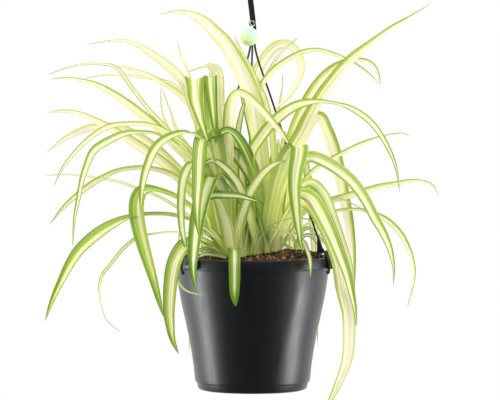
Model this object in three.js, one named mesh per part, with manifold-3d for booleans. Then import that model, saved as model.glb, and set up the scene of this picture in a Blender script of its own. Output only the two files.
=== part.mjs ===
// Potted spider plant in a hanging pot. Millimetres, +Z up.
// Worked out from the centre of the pot's rim, then moved so that the hook's hanging point is the origin.
import * as THREE from 'three';
import { mergeVertices } from 'three/addons/utils/BufferGeometryUtils.js';
import Module from 'manifold-3d';

const wasm = await Module();
wasm.setup();

// pot
const RIM_R = 79.5;            // outside of the rolled collar
const COLLAR_H = 11;
const POT_H = 133;
const POT_SIDES = 36;
const DRAIN_R = 4;             // drain holes in the base
const DRAIN_RING = 34;
const DRAIN_COUNT = 6;
const GAP = 0.3;               // running gap between pieces that touch

// hanger
const LEG_AZIMUTHS = [-26, 94, 214];   // degrees, seen from above
const FOOT_R = 82.6;           // where the outer prong passes the collar
const HANG = [-3, 0, 291.5];   // inside top of the hook, from the rim's centre
const HOOK_R = 10;             // centre line of the hook's bend
const HOOK_THICK = 5.2;

// leaves
const VIEW_DISTANCE = 3000;    // leaf points are laid out as seen from the front at this distance
const VIEW_HEIGHT = 152;       // and from this height above the rim
const BLADE_THICK = 1.1;
const FOLD = 0.16;             // how far the blade's edges stand above its midrib, in widths
const STEP = 21;               // length of one leaf segment
const SIMPLIFY = 0.21;         // how far merging small faces may move a fused surface

// ---------------------------------------------------------------- helpers

function solidOf(geometry) {
  const g = geometry.clone();
  g.deleteAttribute('normal');
  g.deleteAttribute('uv');
  const m = mergeVertices(g, 1e-4);
  return new wasm.Manifold(new wasm.Mesh({
    numProp: 3,
    vertProperties: new Float32Array(m.attributes.position.array),
    triVerts: new Uint32Array(m.index.array),
  }));
}

function geometryOf(solid) {
  const mesh = solid.getMesh();
  const g = new THREE.BufferGeometry();
  g.setAttribute('position', new THREE.BufferAttribute(new Float32Array(mesh.vertProperties), 3));
  g.setIndex(new THREE.BufferAttribute(new Uint32Array(mesh.triVerts), 1));
  return g;
}

// joins solids and keeps the outer shell of the result, without pockets closed in between blades
function fuse(solids) {
  let all = solids[0];
  for (const s of solids.slice(1)) {
    all = all.add(s);
  }
  const g = geometryOf(solidOf(geometryOf(all)).simplify(SIMPLIFY));
  const index = g.index.array;
  const pos = g.attributes.position.array;
  const parent = Array.from({ length: pos.length / 3 }, (_, i) => i);
  const find = (i) => {
    while (parent[i] !== i) {
      parent[i] = parent[parent[i]];
      i = parent[i];
    }
    return i;
  };
  for (let t = 0; t < index.length; t += 3) {
    parent[find(index[t])] = find(index[t + 1]);
    parent[find(index[t + 1])] = find(index[t + 2]);
  }
  const volume = new Map();
  for (let t = 0; t < index.length; t += 3) {
    const [a, b, c] = [0, 1, 2].map((k) => new THREE.Vector3().fromArray(pos, 3 * index[t + k]));
    const root = find(index[t]);
    volume.set(root, (volume.get(root) ?? 0) + a.dot(b.cross(c)) / 6);
  }
  const largest = [...volume.entries()].sort((p, q) => q[1] - p[1])[0][0];
  const kept = [];
  for (let t = 0; t < index.length; t += 3) {
    if (find(index[t]) === largest) {
      kept.push(index[t], index[t + 1], index[t + 2]);
    }
  }
  g.setIndex(kept);
  return solidOf(g);
}

function lathe(profile, sides = POT_SIDES) {
  const points = profile.map(([r, z]) => new THREE.Vector2(r, z));
  return solidOf(new THREE.LatheGeometry(points, sides).rotateX(Math.PI / 2));
}

// a flat outline in X and Z, given a thickness along Y about the middle
function plate(outline, thickness) {
  const shape = new THREE.Shape(outline.map(([x, z]) => new THREE.Vector2(x, z)));
  const g = new THREE.ExtrudeGeometry(shape, { depth: thickness, bevelEnabled: false });
  return solidOf(g.translate(0, 0, -thickness / 2).rotateX(Math.PI / 2));
}

// a bar of the given section swept along a smooth line
function bar(points, width, depth, steps, corners = 8) {
  const outline = [];
  for (let i = 0; i < corners; i += 1) {
    const a = (2 * Math.PI * (i + 0.5)) / corners;
    outline.push(new THREE.Vector2((width / 2) * Math.cos(a), (depth / 2) * Math.sin(a)));
  }
  const path = new THREE.CatmullRomCurve3(points.map((p) => new THREE.Vector3(...p)), false, 'catmullrom', 0.5);
  return solidOf(new THREE.ExtrudeGeometry(new THREE.Shape(outline), { steps, extrudePath: path }));
}

function turned(solid, degrees) {
  return solid.rotate([0, 0, degrees]);
}

function ellipsoid([x, y, z], [rx, ry, rz], sides = 14, rings = 8) {
  return solidOf(new THREE.SphereGeometry(1, sides, rings).rotateX(Math.PI / 2)
    .scale(rx, ry, rz).translate(x, y, z));
}

function polar(r, degrees, z) {
  const a = (degrees * Math.PI) / 180;
  return [r * Math.cos(a), r * Math.sin(a), z];
}

const group = new THREE.Group();

function piece(name, solid, color, roughness) {
  const g = geometryOf(solid).translate(-HANG[0], -HANG[1], -HANG[2]);
  g.computeVertexNormals();
  const mesh = new THREE.Mesh(g, new THREE.MeshStandardMaterial({ color, roughness }));
  mesh.name = name;
  group.add(mesh);
}

// ---------------------------------------------------------------- leaves

// share of the full width at each part of a blade's length, from root to tip
function bladeWidth(s, taper) {
  const rise = 0.7 + 0.3 * Math.sin((Math.min(s / 0.35, 1) * Math.PI) / 2);
  return rise * (1 - s ** taper) ** 0.8;
}

// moves a point of the front view along its line of sight to its depth
function placed([x, z, y]) {
  const spread = (VIEW_DISTANCE + y) / VIEW_DISTANCE;
  return new THREE.Vector3(x * spread, y, VIEW_HEIGHT + (z - VIEW_HEIGHT) * spread);
}

// one leaf: its width, the way it heads (degrees from +X), its points [x, z, depth, turn] from root to tip,
// and how blunt its tip is
function leaf([width, heading, points, taper = 3]) {
  const line = new THREE.CatmullRomCurve3(points.map(placed), false, 'catmullrom', 0.5);
  const turns = points.map((p) => THREE.MathUtils.degToRad(p[3]));
  const count = Math.min(16, Math.max(5, Math.round(line.getLength() / STEP)));
  const a = THREE.MathUtils.degToRad(heading);
  const across = new THREE.Vector3(-Math.sin(a), Math.cos(a), 0);
  const vertices = [];
  for (let i = 0; i < count; i += 1) {
    const s = i / count;
    const u = s * (points.length - 1);
    const k = Math.floor(u);
    const turn = turns[k] + (turns[k + 1] - turns[k]) * (u - k);
    const centre = line.getPoint(s);
    const along = line.getTangent(s);
    const flat = across.clone().addScaledVector(along, -across.dot(along)).normalize();
    const up = along.clone().cross(flat);
    const side = flat.clone().multiplyScalar(Math.cos(turn)).addScaledVector(up, Math.sin(turn));
    const face = up.clone().multiplyScalar(Math.cos(turn)).addScaledVector(flat, -Math.sin(turn));
    const w = width * bladeWidth(s, taper);
    const t = (BLADE_THICK / 2) * (0.6 + 0.4 * bladeWidth(s, taper));
    const rise = w * FOLD;
    vertices.push(
      centre.clone().addScaledVector(side, -w / 2).addScaledVector(face, rise),
      centre.clone().addScaledVector(face, t),
      centre.clone().addScaledVector(side, w / 2).addScaledVector(face, rise),
      centre.clone().addScaledVector(face, -t),
    );
  }
  vertices.push(line.getPoint(1));
  // the upper and the lower face are split along the same diagonals, so a twisted blade keeps its thickness
  const index = [0, 1, 2, 0, 2, 3];
  for (let i = 0; i < count - 1; i += 1) {
    for (let c = 0; c < 4; c += 1) {
      const [p, q] = [4 * i + c, 4 * i + ((c + 1) % 4)];
      if (c < 2) index.push(p, p + 4, q + 4, p, q + 4, q);
      else index.push(p, p + 4, q, p + 4, q + 4, q);
    }
  }
  const last = 4 * (count - 1);
  for (let c = 0; c < 4; c += 1) {
    index.push(last + c, 4 * count, last + ((c + 1) % 4));
  }
  const g = new THREE.BufferGeometry();
  g.setAttribute('position', new THREE.BufferAttribute(new Float32Array(vertices.flatMap((v) => v.toArray())), 3));
  g.setIndex(index);
  const solid = solidOf(g);
  return solid.volume() > 0 ? solid : solidOf(g.clone().setIndex(index.slice().reverse()));
}

// small repeatable generator, so that the leaves drawn by rule always fall the same way
function dice(seed) {
  let state = seed;
  return (low, high) => {
    state = (state * 16807) % 2147483647;
    return low + ((high - low) * state) / 2147483647;
  };
}

// a leaf by rule: it rises from its shoot, arches over and hangs, heading the given way
function archingLeaf([x0, y0], heading, reach, height, drop, width, twist) {
  const a = THREE.MathUtils.degToRad(heading);
  const shape = [[0, 0.01], [0.06, 0.35], [0.2, 0.78], [0.45, 1], [0.7, 0.86], [0.88, 0.5], [1, 0]];
  const points = shape.map(([out, up], i) => {
    const fall = i > 3 ? ((i - 3) / 3) ** 1.6 * drop : 0;
    const x = x0 + reach * out * Math.cos(a);
    const y = y0 + reach * out * Math.sin(a);
    const z = height * up - fall;
    const spread = (VIEW_DISTANCE + y) / VIEW_DISTANCE;
    return [x / spread, VIEW_HEIGHT + (z - VIEW_HEIGHT) / spread, y, (twist * i) / 6];
  });
  return [width, heading, points];
}

// leaves of the two front shoots that face left
const FRONT_LEFT = [
  [18, 180, [[12.6, 1, 2.4, -75], [12, 40, -2, -75], [10, 80, -7, -75], [6, 117, -12, -75],
    [0, 150, -17, -75], [-8, 169, -20, -75], [-15, 184, -21, -75], [-21, 197, -22, -75],
    [-30, 212, -22, -75], [-41, 226, -24, -70], [-53, 236, -26, -60], [-65, 242, -28, -40],
    [-78, 244, -29, -20], [-92, 242, -30, -15]]],
  [7, 180, [[16, 1, 6, -60], [22, 60, 4, -60], [19, 120, -2, -60], [13, 153, -8, -60],
    [7, 168, -12, -60], [-2, 187, -15, -60], [-8, 198, -16, -50], [-13, 209, -16, -40], [-18, 220, -16, -30]]],
  [11, 180, [[-27, 1, -22, -60], [-34, 50, -18, -60], [-43, 95, -14, -65], [-52, 128, -12, -70],
    [-60, 151, -10, -75], [-67, 171, -10, -75], [-82, 188, -10, -75], [-101, 202, -10, -60],
    [-120, 213, -10, -35], [-140, 215, -10, -25], [-165, 212, -10, -20]]],
  [10, 180, [[-26, 1, -25, -65], [-32, 42, -12, -65], [-44, 72, -10, -70], [-60, 94, -12, -75],
    [-77, 111, -12, -75], [-96, 130, -12, -75], [-113, 144, -12, -75], [-132, 158, -12, -70],
    [-153, 170, -12, -50], [-172, 176, -12, -30], [-190, 178, -12, -20], [-202, 177, -12, -15]]],
  [4.5, 180, [[-28, 1, -22, -70], [-40, 50, -18, -70], [-55, 90, -16, -70], [-83, 125, -15, -70],
    [-102, 145, -14, -70], [-120, 168, -13, -70], [-135, 188, -12, -60], [-152, 192, -12, -40],
    [-169, 192, -12, -40], [-190, 187, -12, -40], [-203, 182, -12, -30]]],
  [11, 180, [[-25, 1, -16, -60], [-37, 22, -8, -60], [-52, 52, -5, -60], [-69, 73, -4, -65],
    [-85, 90, -4, -70], [-109, 107, -4, -70], [-127, 119, -4, -70], [-148, 131, -4, -60],
    [-172, 142, -4, -50], [-190, 145, -4, -45], [-205, 144, -4, -30]]],
  [8, 190, [[-27, 1, -28, -30], [-33, 42, -32, -30], [-45, 77, -36, -35], [-63, 107, -40, -35],
    [-85, 124, -42, -30], [-103, 131, -43, -30], [-125, 132, -44, -40], [-145, 129, -45, -50],
    [-164, 117, -46, -55], [-179, 102, -46, -55], [-190, 88, -46, -55], [-199, 70, -46, -50]]],
  [10, 215, [[-26, 1, -26, 0], [-33, 42, -34, 0], [-47, 77, -40, -10], [-67, 105, -44, -20],
    [-92, 120, -48, -20], [-109, 123, -50, -20], [-128, 122, -52, -30], [-148, 113, -54, -45],
    [-159, 105, -56, -45], [-165, 92, -58, -35], [-170, 77, -59, -30], [-174, 57, -60, -30],
    [-178, 37, -60, -30], [-180, 10, -60, -30]]],
  [13, 230, [[-27, 1, -28, 0], [-33, 45, -34, 0], [-39, 80, -40, 0], [-47, 108, -48, -5],
    [-58, 121, -56, -10], [-70, 123, -62, -10], [-86, 117, -68, -10], [-97, 107, -73, -10],
    [-104, 92, -77, -10], [-109, 75, -80, -10], [-111, 59, -82, -5], [-112, 43, -84, 0]]],
  [18, 245, [[-27, 1, -28, 0], [-30, 40, -30, 0], [-33, 80, -33, 0], [-37, 110, -38, 0],
    [-43, 126, -46, 0], [-50, 116, -57, 0], [-52.5, 98, -67, 0], [-53.5, 77, -77, 0],
    [-55, 57, -86, 0], [-55, 37, -92, 0], [-53, 18, -95, 0]]],
  [20, 245, [[-26, 1, -30, 0], [-29, 35, -34, 0], [-33, 65, -40, 0], [-40, 79, -50, 0],
    [-46, 67, -62, 0], [-52, 47, -74, 0], [-56, 26, -82, 0], [-58, 7, -87, 0],
    [-59, -14, -90, 0], [-56, -36, -91, 0]]],
  [12, 240, [[-28, 1, -25, 0], [-34, 40, -30, 0], [-42, 75, -38, 0], [-52, 91, -48, 0],
    [-61, 92, -58, 0], [-67, 82, -66, 0], [-70, 67, -70, 0], [-71, 47, -74, 0],
    [-70, 27, -76, 0], [-67, 12, -77, 0], [-64, 0, -77, 0]]],
  [21, 270, [[-27, 1, -18, 0], [-38, 70, -8, 0], [-50, 140, -2, 0], [-55, 166, -5, 0],
    [-57, 175, -12, 0], [-57.5, 177, -20, 0], [-57.3, 174, -28, 0], [-57, 168, -33, 0],
    [-56, 158, -37, 0], [-54, 147, -39, 0], [-51.5, 134, -40, 0], [-46, 116, -41, 0]]],
  [17, 180, [[-22, 1, -15, 90], [-28, 60, -12, 90], [-33, 110, -10, 90], [-36, 150, -10, 90],
    [-36.5, 173, -11, 85], [-37.5, 184, -13, 60], [-43, 189, -16, 20], [-51, 188, -18, 0],
    [-58, 186, -20, -10], [-64, 184.5, -21, -10]]],
  [11, 270, [[-24, 1, -22, 0], [-35, 80, -14, 0], [-41, 140, -12, 0], [-43, 170, -16, 0],
    [-43, 179, -24, 0], [-43, 175, -32, 0], [-42, 162, -37, 0], [-40.5, 146, -39, 0],
    [-39, 130, -40, 0], [-37.5, 112, -41, 0]]],
  [16, 215, [[-28, 1, -35, -20], [-38, 18, -44, -20], [-53, 31, -52, -20], [-75, 39, -58, -15],
    [-102, 41, -64, -10], [-123, 38, -70, -20], [-140, 31, -77, -35], [-156, 21, -84, -40],
    [-172, 7, -90, -40], [-182, -7, -94, -40], [-190, -22, -96, -40], [-200, -43, -97, -40],
    [-208, -65, -97, -40]]],
  [4, 205, [[-28, 1, -32, -20], [-43, 12, -48, -20], [-62, 22, -60, -20], [-80, 24, -66, -20],
    [-101, 22, -68, -20], [-113, 20, -69, -30], [-121, 15, -70, -50], [-131, 6, -72, -60],
    [-142, -8, -74, -60], [-150, -18, -76, -50], [-153, -29, -78, -30], [-152, -44, -80, 0],
    [-149, -57, -80, 20], [-144, -66, -80, 30], [-133, -75, -80, 30]]],
  [16, 225, [[-27, 1, -32, -30], [-40, 8, -48, -30], [-55, 13, -62, -25], [-65, 13, -72, -20],
    [-73, 4, -80, -30], [-79.5, -11, -86, -38], [-82.5, -33, -88, -40], [-83.5, -53, -88, -40],
    [-82.5, -68, -88, -40], [-80, -83, -87, -40], [-74, -98, -86, -40]]],
  [10, 190, [[-30, 1, -20, -50], [-47, 42, -20, -50], [-62, 65, -18, -50], [-76, 78, -16, -40],
    [-92, 85, -14, -30], [-112, 88, -14, -25], [-134, 85, -16, -25], [-152, 77, -18, -40],
    [-164, 70, -20, -60], [-177, 60, -22, -65], [-190, 48, -24, -65], [-203, 32, -26, -60]]],
  [18, 205, [[-28, 1, -22, -40], [-42, 24, -17, -35], [-60, 46, -19, -30], [-77, 58, -30, -22],
    [-92, 64, -46, -20], [-104, 66, -60, -22], [-112, 62, -69, -30], [-115.5, 51, -73, -45],
    [-115, 37, -75, -60], [-111.5, 19, -76, -68], [-106, -1, -76, -72], [-100, -21, -76, -72],
    [-94, -43, -75, -72], [-89, -61, -74, -70]]],
  [13, 270, [[-19, 1, -29, 0], [-19, 5, -42, 0], [-19, 7, -58, 0], [-18, 5, -74, 0],
    [-18, -5, -85, 0], [-18, -21, -88, 0], [-18, -36, -88, 0], [-17, -50, -86, 0]], 9],
  [3, 230, [[-28, 1, -33, 0], [-44, 8, -50, 0], [-60, 11, -64, 0], [-70, 8, -72, 0],
    [-76, -4, -78, 0], [-77, -14, -80, -20], [-74, -25, -80, -40], [-69, -32, -79, -60],
    [-62, -36, -78, -70], [-52, -38, -77, -70], [-45, -36, -76, -70]]],
  [10, 180, [[6, 1, -6, -70], [-3, 42, -30, -70], [-12, 67, -38, -65], [-21, 81, -42, -60],
    [-30, 90, -44, -55], [-38, 95, -46, -45], [-45, 94, -48, -40], [-52, 82, -50, -60]]],
  [9, 190, [[5, 1, -8, -60], [-2, 32, -20, -60], [-11, 54, -30, -60], [-21, 70, -40, -55],
    [-31, 79, -48, -40], [-38, 76, -54, -40], [-43, 65, -58, -50], [-46, 52, -60, -50]]],
  [13, 180, [[12, 1, 0, -75], [8, 52, -8, -75], [2, 74, -11, -75], [-7, 89, -12, -75],
    [-18, 103, -12, -75], [-30, 113, -12, -70], [-39, 117, -12, -60], [-47, 119, -12, -50]]],
  [14, 190, [[9, 1, -2, -60], [9, 41, -10, -60], [3, 77, -18, -65], [-5, 99, -24, -65],
    [-14, 116, -30, -55], [-24, 125, -36, -35], [-34, 121, -42, -30], [-40, 109, -46, -40],
    [-45, 92, -49, -50], [-49, 72, -51, -50]]],
  [9, 180, [[11, 1, 4, -70], [8, 57, 4, -70], [4, 97, 2, -70], [-2, 127, 0, -70],
    [-8, 150, 0, -65], [-12, 162, 0, -60]]],
  [9, 215, [[-27, 3, -36, -20], [-37, 10, -44, -20], [-47, 14, -51, -20], [-57, 15, -58, -20]]],
  [9, 200, [[-29, 4, -30, -40], [-40, 17, -36, -40], [-50, 25, -42, -35], [-60, 29, -46, -30]]],
  [8, 225, [[-26, 2, -40, -10], [-38, 5, -50, -10], [-50, 6, -60, -10], [-60, 4, -68, -10]]],
  [12, 180, [[-6, 1, -6, -70], [-7, 31, -4, -70], [-9, 61, 0, -70], [-12, 91, 2, -70], [-15, 110, 3, -60]]],
];

// leaves of the two front shoots that face right
const FRONT_RIGHT = [
  [14, 0, [[-20, 1, -25, 60], [-22, 50, -24, 60], [-24, 95, -24, 60], [-23, 127, -25, 65],
    [-21, 150, -28, 65], [-15, 163, -32, 60], [-4, 163, -35, 65], [6, 152, -38, 75],
    [19, 137, -42, 75], [30, 122, -45, 70], [39, 107, -47, 60]]],
  [8, 0, [[-20, 1, -15, 60], [-17, 77, -12, 60], [-15, 117, -8, 65], [-11, 142, -6, 70],
    [-7, 158, -4, 70]]],
  [11, 330, [[-26, 1, -32, 0], [-38, 20, -40, 0], [-46, 42, -48, 20], [-47, 55, -52, 60],
    [-40, 61, -54, 70], [-28, 61, -58, 50], [-13, 60, -62, 45], [-1, 57, -64, 45], [11, 53, -65, 40]]],
  [11, 0, [[-18, 1, -28, 75], [-15, 22, -36, 75], [-9, 45, -42, 75], [0, 67, -46, 75],
    [11, 83, -48, 70], [22, 92, -48, 60], [34, 96, -46, 45]]],
  [12, 0, [[11, 1, 0, 50], [7, 42, -8, 50], [2, 72, -14, 40], [-1, 92, -18, 50],
    [0, 105, -20, 60], [8, 118, -22, 70], [18, 131, -22, 75], [31, 143, -22, 75],
    [46, 151, -22, 60], [65, 154, -22, 25], [83, 152, -20, 14], [101, 146, -18, 45],
    [119, 133, -16, 65], [133, 113, -14, 70], [143, 90, -12, 65], [147, 65, -10, 50]]],
  [14, 0, [[17, 1, 6, 70], [22, 45, 4, 70], [31, 82, 0, 70], [40, 108, -2, 70],
    [49, 124, -4, 70], [57, 140, -4, 70], [67, 158, -4, 70], [84, 181, -4, 65],
    [100, 198, -4, 60], [118, 212, -4, 50], [139, 228, -4, 35], [157, 239, -4, 25], [178, 253, -4, 15]]],
  [7, 0, [[15, 1, 8, 60], [14, 55, 4, 60], [9, 105, -2, 60], [5, 150, -8, 60],
    [6, 165, -10, 60], [13, 177, -12, 60], [22, 187, -10, 60], [34, 196, -6, 60],
    [50, 204, -2, 50], [65, 206, 2, 45], [81, 202, 6, 50], [93, 197, 8, 50],
    [109, 188, 8, 40], [119, 180, 8, 30], [127, 172, 8, 20]]],
  [5, 0, [[14, 1, 10, 60], [10, 77, 12, 60], [6, 137, 12, 60], [8, 165, 10, 60],
    [16, 183, 8, 60], [25, 199, 6, 50], [35, 210, 4, 40], [45, 218, 2, 30]]],
  [6, 0, [[16, 1, 4, 30], [25, 25, 2, 30], [42, 60, 0, 35], [58, 83, 0, 40],
    [77, 96, 0, 45], [97, 107, 1, 45], [112, 114, 2, 40], [127, 119, 3, 30],
    [147, 123, 4, 20], [157, 121, 4, 20]]],
  [9, 0, [[17, 1, 1.5, 30], [28, 20, 0, 30], [48, 41, -2, 35], [70, 52, -3, 40],
    [88, 58, -4, 45], [113, 65, -4, 50], [127, 69, -4, 50], [142, 72, -4, 40],
    [157, 75, -4, 30], [170, 75, -5, 20], [180, 71, -6, 30], [186, 61, -8, 40]]],
  [13, 340, [[18, 1, -4, 60], [24, 40, -22, 60], [34, 75, -34, 60], [46, 92, -40, 65],
    [57, 99, -43, 65], [67, 97, -44, 65], [82, 89, -45, 65], [95, 79, -46, 65],
    [105, 68, -46, 65], [114, 54, -46, 60], [122, 38, -46, 55], [130, 24, -46, 50],
    [136, 10, -46, 40], [139, -1, -46, 30], [141, -13, -46, 20], [141, -28, -46, 20]]],
  [22, 280, [[14, 1, -4, 0], [20, 45, -16, 0], [28, 80, -30, 0], [37, 102, -40, 0],
    [46, 109, -48, 0], [46, 99, -56, 5], [43.5, 85, -62, 15], [42.5, 67, -67, 25],
    [44, 47, -70, 35], [46, 31, -72, 40], [48, 15, -73, 40], [50.5, 2.5, -74, 40]], 1.5],
  [16, 320, [[13, 1, -5, 30], [25, 25, -20, 30], [38, 50, -36, 35], [48, 62, -48, 40],
    [59, 58, -58, 40], [66, 48, -64, 35], [74, 33, -68, 35], [81, 17, -70, 30],
    [88, -1, -72, 25], [94, -18, -73, 20], [98, -35, -74, 15], [102, -53, -74, 10], [104, -70, -74, 10]]],
  [11, 330, [[16, 1, -2, 40], [28, 30, -4, 40], [44, 62, -8, 45], [58, 73, -24, 50],
    [70, 60, -42, 50], [79, 37, -50, 50], [87, 14, -54, 45], [94, -8, -56, 40],
    [99, -28, -58, 30], [101, -43, -58, 20], [102, -60, -58, 20]]],
  [14, 290, [[15, 1, -5, 0], [30, 26, -20, 10], [46, 48, -33, 30], [58, 52, -45, 50],
    [67, 40, -54, 60], [75, 20, -60, 60], [82, -4, -64, 60], [86, -25, -66, 45],
    [90, -41, -68, 15], [94, -56, -69, 0], [94, -76, -69, 0], [94, -94, -69, 0],
    [93, -107, -69, 0], [91, -120, -69, 5], [85, -133, -68, 10], [79, -145, -67, 10],
    [69, -159, -66, 10]]],
  [7, 340, [[20, 1, 4, 30], [40, 20, 2, 30], [60, 35, -2, 30], [85, 45, -6, 25],
    [110, 46, -9, 20], [127, 40, -11, 35], [137, 34, -12, 50], [147, 24, -13, 55],
    [153, 14, -14, 50], [158, 2, -15, 40], [161, -11, -15, 35], [161, -23, -15, 30],
    [159, -35, -15, 25], [155, -51, -15, 20]]],
  [3, 0, [[14, 1, -6, 30], [34, 20, -8, 30], [50, 40, -10, 30], [66, 52, -12, 30],
    [84, 58, -14, 30], [97, 54, -15, 30], [110, 47, -16, 30], [118, 40, -16, 30]]],
  [3, 320, [[-2, 1, -17, 20], [0, 14, -32, 20], [6, 23, -40, 25], [14, 29, -43, 25],
    [26, 34, -46, 25], [38, 38, -47, 25], [48, 38, -48, 25], [60, 36, -48, 25], [70, 30, -48, 25]]],
  [3.5, 310, [[2, 1, -17, 20], [6, 14, -32, 20], [12, 24, -41, 25], [21, 27, -45, 25],
    [31, 26, -48, 25], [40, 20, -50, 25], [46, 13, -51, 25]]],
  [11, 0, [[16, 1, 2, 60], [20, 50, 4, 60], [22, 85, 6, 65], [22, 110, 8, 65], [20, 128, 8, 60]]],
  [10, 0, [[20, 1, 4, 50], [26, 50, 8, 50], [27, 90, 10, 50], [26, 118, 10, 50]]],
  [8, 0, [[20, 1, -2, 70], [28, 45, 0, 70], [33, 85, 4, 70], [32, 114, 6, 60]]],
  [11, 0, [[6, 1, 8, 70], [5, 31, 10, 70], [3, 61, 12, 70], [-1, 95, 12, 60]]],
];

// leaves of the small offset shoot
const OFFSET = [
  [5, 200, [[44, 8, 8, -50], [40, 16, 14, -50], [35, 29, 18, -50], [31, 40, 19, -40]]],
  [6, 340, [[45, 8, 4, 30], [47, 17, -2, 35], [54, 21, -6, 40], [60, 19, -10, 45], [65, 12, -13, 50]]],
  [5, 10, [[46, 8, 10, 40], [47, 20, 12, 40], [54, 28, 13, 45], [62, 24, 14, 50], [71, 14, 15, 50],
    [79, 8, 16, 40]]],
  [3, 0, [[46, 8, 8, 30], [48, 15, 6, 30], [57, 22, 4, 30], [73, 21, 2, 30]]],
  [6, 290, [[44, 8, 4, 0], [44, 12, -14, 0], [47, 16, -34, 0], [51, 14, -52, 0],
    [54, 7, -68, 0], [57, -2, -78, 0], [58, -12, -82, 0], [58, -22, -83, 0]]],
  [4, 180, [[42, 8, 10, -50], [38, 8, 16, -50], [31, 12, 22, -50], [26, 9, 26, -40]]],
];

// leaves of the back left shoot
const BACK_LEFT = [
  [7, 180, [[-20, 1, 36, -60], [-30, 50, 30, -60], [-45, 110, 24, -65], [-58, 143, 20, -70],
    [-72, 161, 20, -70], [-93, 175, 20, -60], [-109, 183, 20, -60], [-125, 188, 20, -50], [-140, 191, 20, -40]]],
  [6, 180, [[-20, 1, 40, -50], [-32, 55, 38, -50], [-48, 112, 34, -55], [-62, 148, 32, -60],
    [-75, 168, 32, -50], [-93, 176, 32, -45], [-117, 180, 32, -40], [-148, 181, 32, -30], [-166, 178, 32, -20]]],
  [12, 180, [[-21, 3, 35, -60], [-38, 30, 24, -60], [-60, 68, 18, -65], [-87, 98, 16, -70],
    [-107, 114, 16, -70], [-127, 125, 16, -60], [-144, 129, 16, -60], [-162, 128, 16, -60],
    [-177, 123, 16, -65], [-190, 116, 16, -65], [-206, 104, 16, -55]]],
  [4, 160, [[-18, 1, 38, -50], [-35, 60, 36, -50], [-48, 110, 32, -50], [-57, 150, 30, -50],
    [-61, 172, 28, -50], [-66, 187, 26, -50], [-71, 198, 24, -45], [-75, 216, 22, -40]]],
  [4.5, 180, [[-22, 1, 38, -50], [-45, 55, 34, -50], [-68, 98, 30, -50], [-82, 122, 28, -50],
    [-88, 137, 27, -45], [-91, 150, 26, -40], [-92, 169, 26, -40]]],
  [4, 170, [[-21, 1, 42, -50], [-40, 60, 42, -50], [-62, 105, 40, -50], [-76, 127, 38, -50],
    [-82, 145, 37, -45], [-90, 168, 36, -40]]],
  [5, 180, [[-21, 1, 37, -30], [-38, 17, 28, -30], [-54, 32, 20, -35], [-76, 49, 16, -35],
    [-97, 61, 15, -35], [-114, 67, 15, -35], [-132, 74, 15, -35], [-152, 78, 15, -35],
    [-172, 81, 15, -30], [-190, 82, 15, -30], [-206, 81, 15, -25]]],
];

// leaves of the back right shoot
const BACK_RIGHT = [
  [12, 0, [[22.5, 1, 39.5, 60], [28, 50, 36, 60], [34, 95, 30, 65], [42, 127, 26, 70],
    [50, 145, 24, 70], [58, 161, 22, 75], [67, 174, 20, 75], [77, 184, 18, 70],
    [88, 191, 17, 60], [101, 195, 16, 40], [112, 195, 14, 30], [120, 191, 12, 40],
    [125, 183, 10, 45], [128, 172, 8, 45]]],
  [12, 0, [[20, 1, 40, 60], [12, 60, 46, 65], [3, 118, 46, 70], [-1, 155, 42, 70],
    [2, 176, 38, 70], [10, 194, 34, 70], [23, 209, 32, 65], [36, 211, 30, 60],
    [45, 202, 28, 60], [48, 187, 26, 50], [44, 174, 24, 40], [36, 161, 22, 40],
    [25, 150, 20, 40], [18, 144, 19, 40]]],
  [3.5, 0, [[25, 1, 36, 40], [20, 60, 32, 40], [22, 115, 30, 40], [26, 142, 30, 40],
    [28, 157, 30, 40], [30, 170, 30, 40], [30, 182, 30, 40]]],
  [15, 350, [[27, 1, 38, 60], [32, 45, 34, 60], [39, 90, 30, 60], [49, 115, 27, 60],
    [60, 134, 24, 50], [67, 139, 22, 40], [73, 127, 20, 50], [80, 109, 18, 60],
    [87, 82, 16, 65], [91, 60, 14, 65], [95, 41, 13, 65], [98, 21, 12, 65],
    [100, 1, 12, 60], [101, -18, 12, 50], [102, -33, 12, 40]]],
];

// leaves that fill the back of the plant, by rule: [shoot, first heading, step, count, seed]
const FILL = {
  left: [[-18, 38], 82, 6, 8, 111],
  right: [[26, 40], 66, 4, 7, 2371],
};

function fillLeaves([shoot, heading, step, count, seed]) {
  const between = dice(seed);
  const leaves = [];
  for (let i = 0; i < count; i += 1) {
    const reach = between(105, 170);
    const height = between(70, 125);
    leaves.push(archingLeaf(shoot, heading + i * step + between(-4, 4), reach, height,
      between(60, 150), between(9, 15), between(-25, 25)));
  }
  return leaves;
}

// ---------------------------------------------------------------- shoots

// each shoot's crown: a short thick stem base that the leaves grow from, sunk in its own hole in the soil
const CROWNS = {
  rosette_front: [[-22, -27, 15, 13], [13, 0, 16, 14], [-5, -14, 14, 12]],
  rosette_offset: [[44, 7, 6.5, 6.5]],
  rosette_back_left: [[-20, 38, 11, 10]],
  rosette_back_right: [[25, 39, 11, 10]],
};
const CROWN_TOP = { rosette_offset: 10 };
const CROWN_DEPTH = 22;

function crown(name) {
  const top = CROWN_TOP[name] ?? 7;
  return CROWNS[name].map(([x, y, rx, ry]) => lathe([[0, -CROWN_DEPTH], [0.5, -CROWN_DEPTH], [1, 0], [0.55, top],
    [0, top]], 14).scale([rx, ry, 1]).translate([x, y, 0]));
}

function crownHole(name) {
  return CROWNS[name].map(([x, y, rx, ry]) => lathe([[0, -CROWN_DEPTH - GAP], [0.5 * rx + GAP, -CROWN_DEPTH - GAP],
    [rx + GAP, 0], [rx + GAP, 30], [0, 30]], 14).scale([1, (ry + GAP) / (rx + GAP), 1]).translate([x, y, 0]));
}

const LEAVES = {
  rosette_front: [...FRONT_LEFT, ...FRONT_RIGHT],
  rosette_offset: OFFSET,
  rosette_back_left: [...BACK_LEFT, ...fillLeaves(FILL.left)],
  rosette_back_right: [...BACK_RIGHT, ...fillLeaves(FILL.right)],
};

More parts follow.
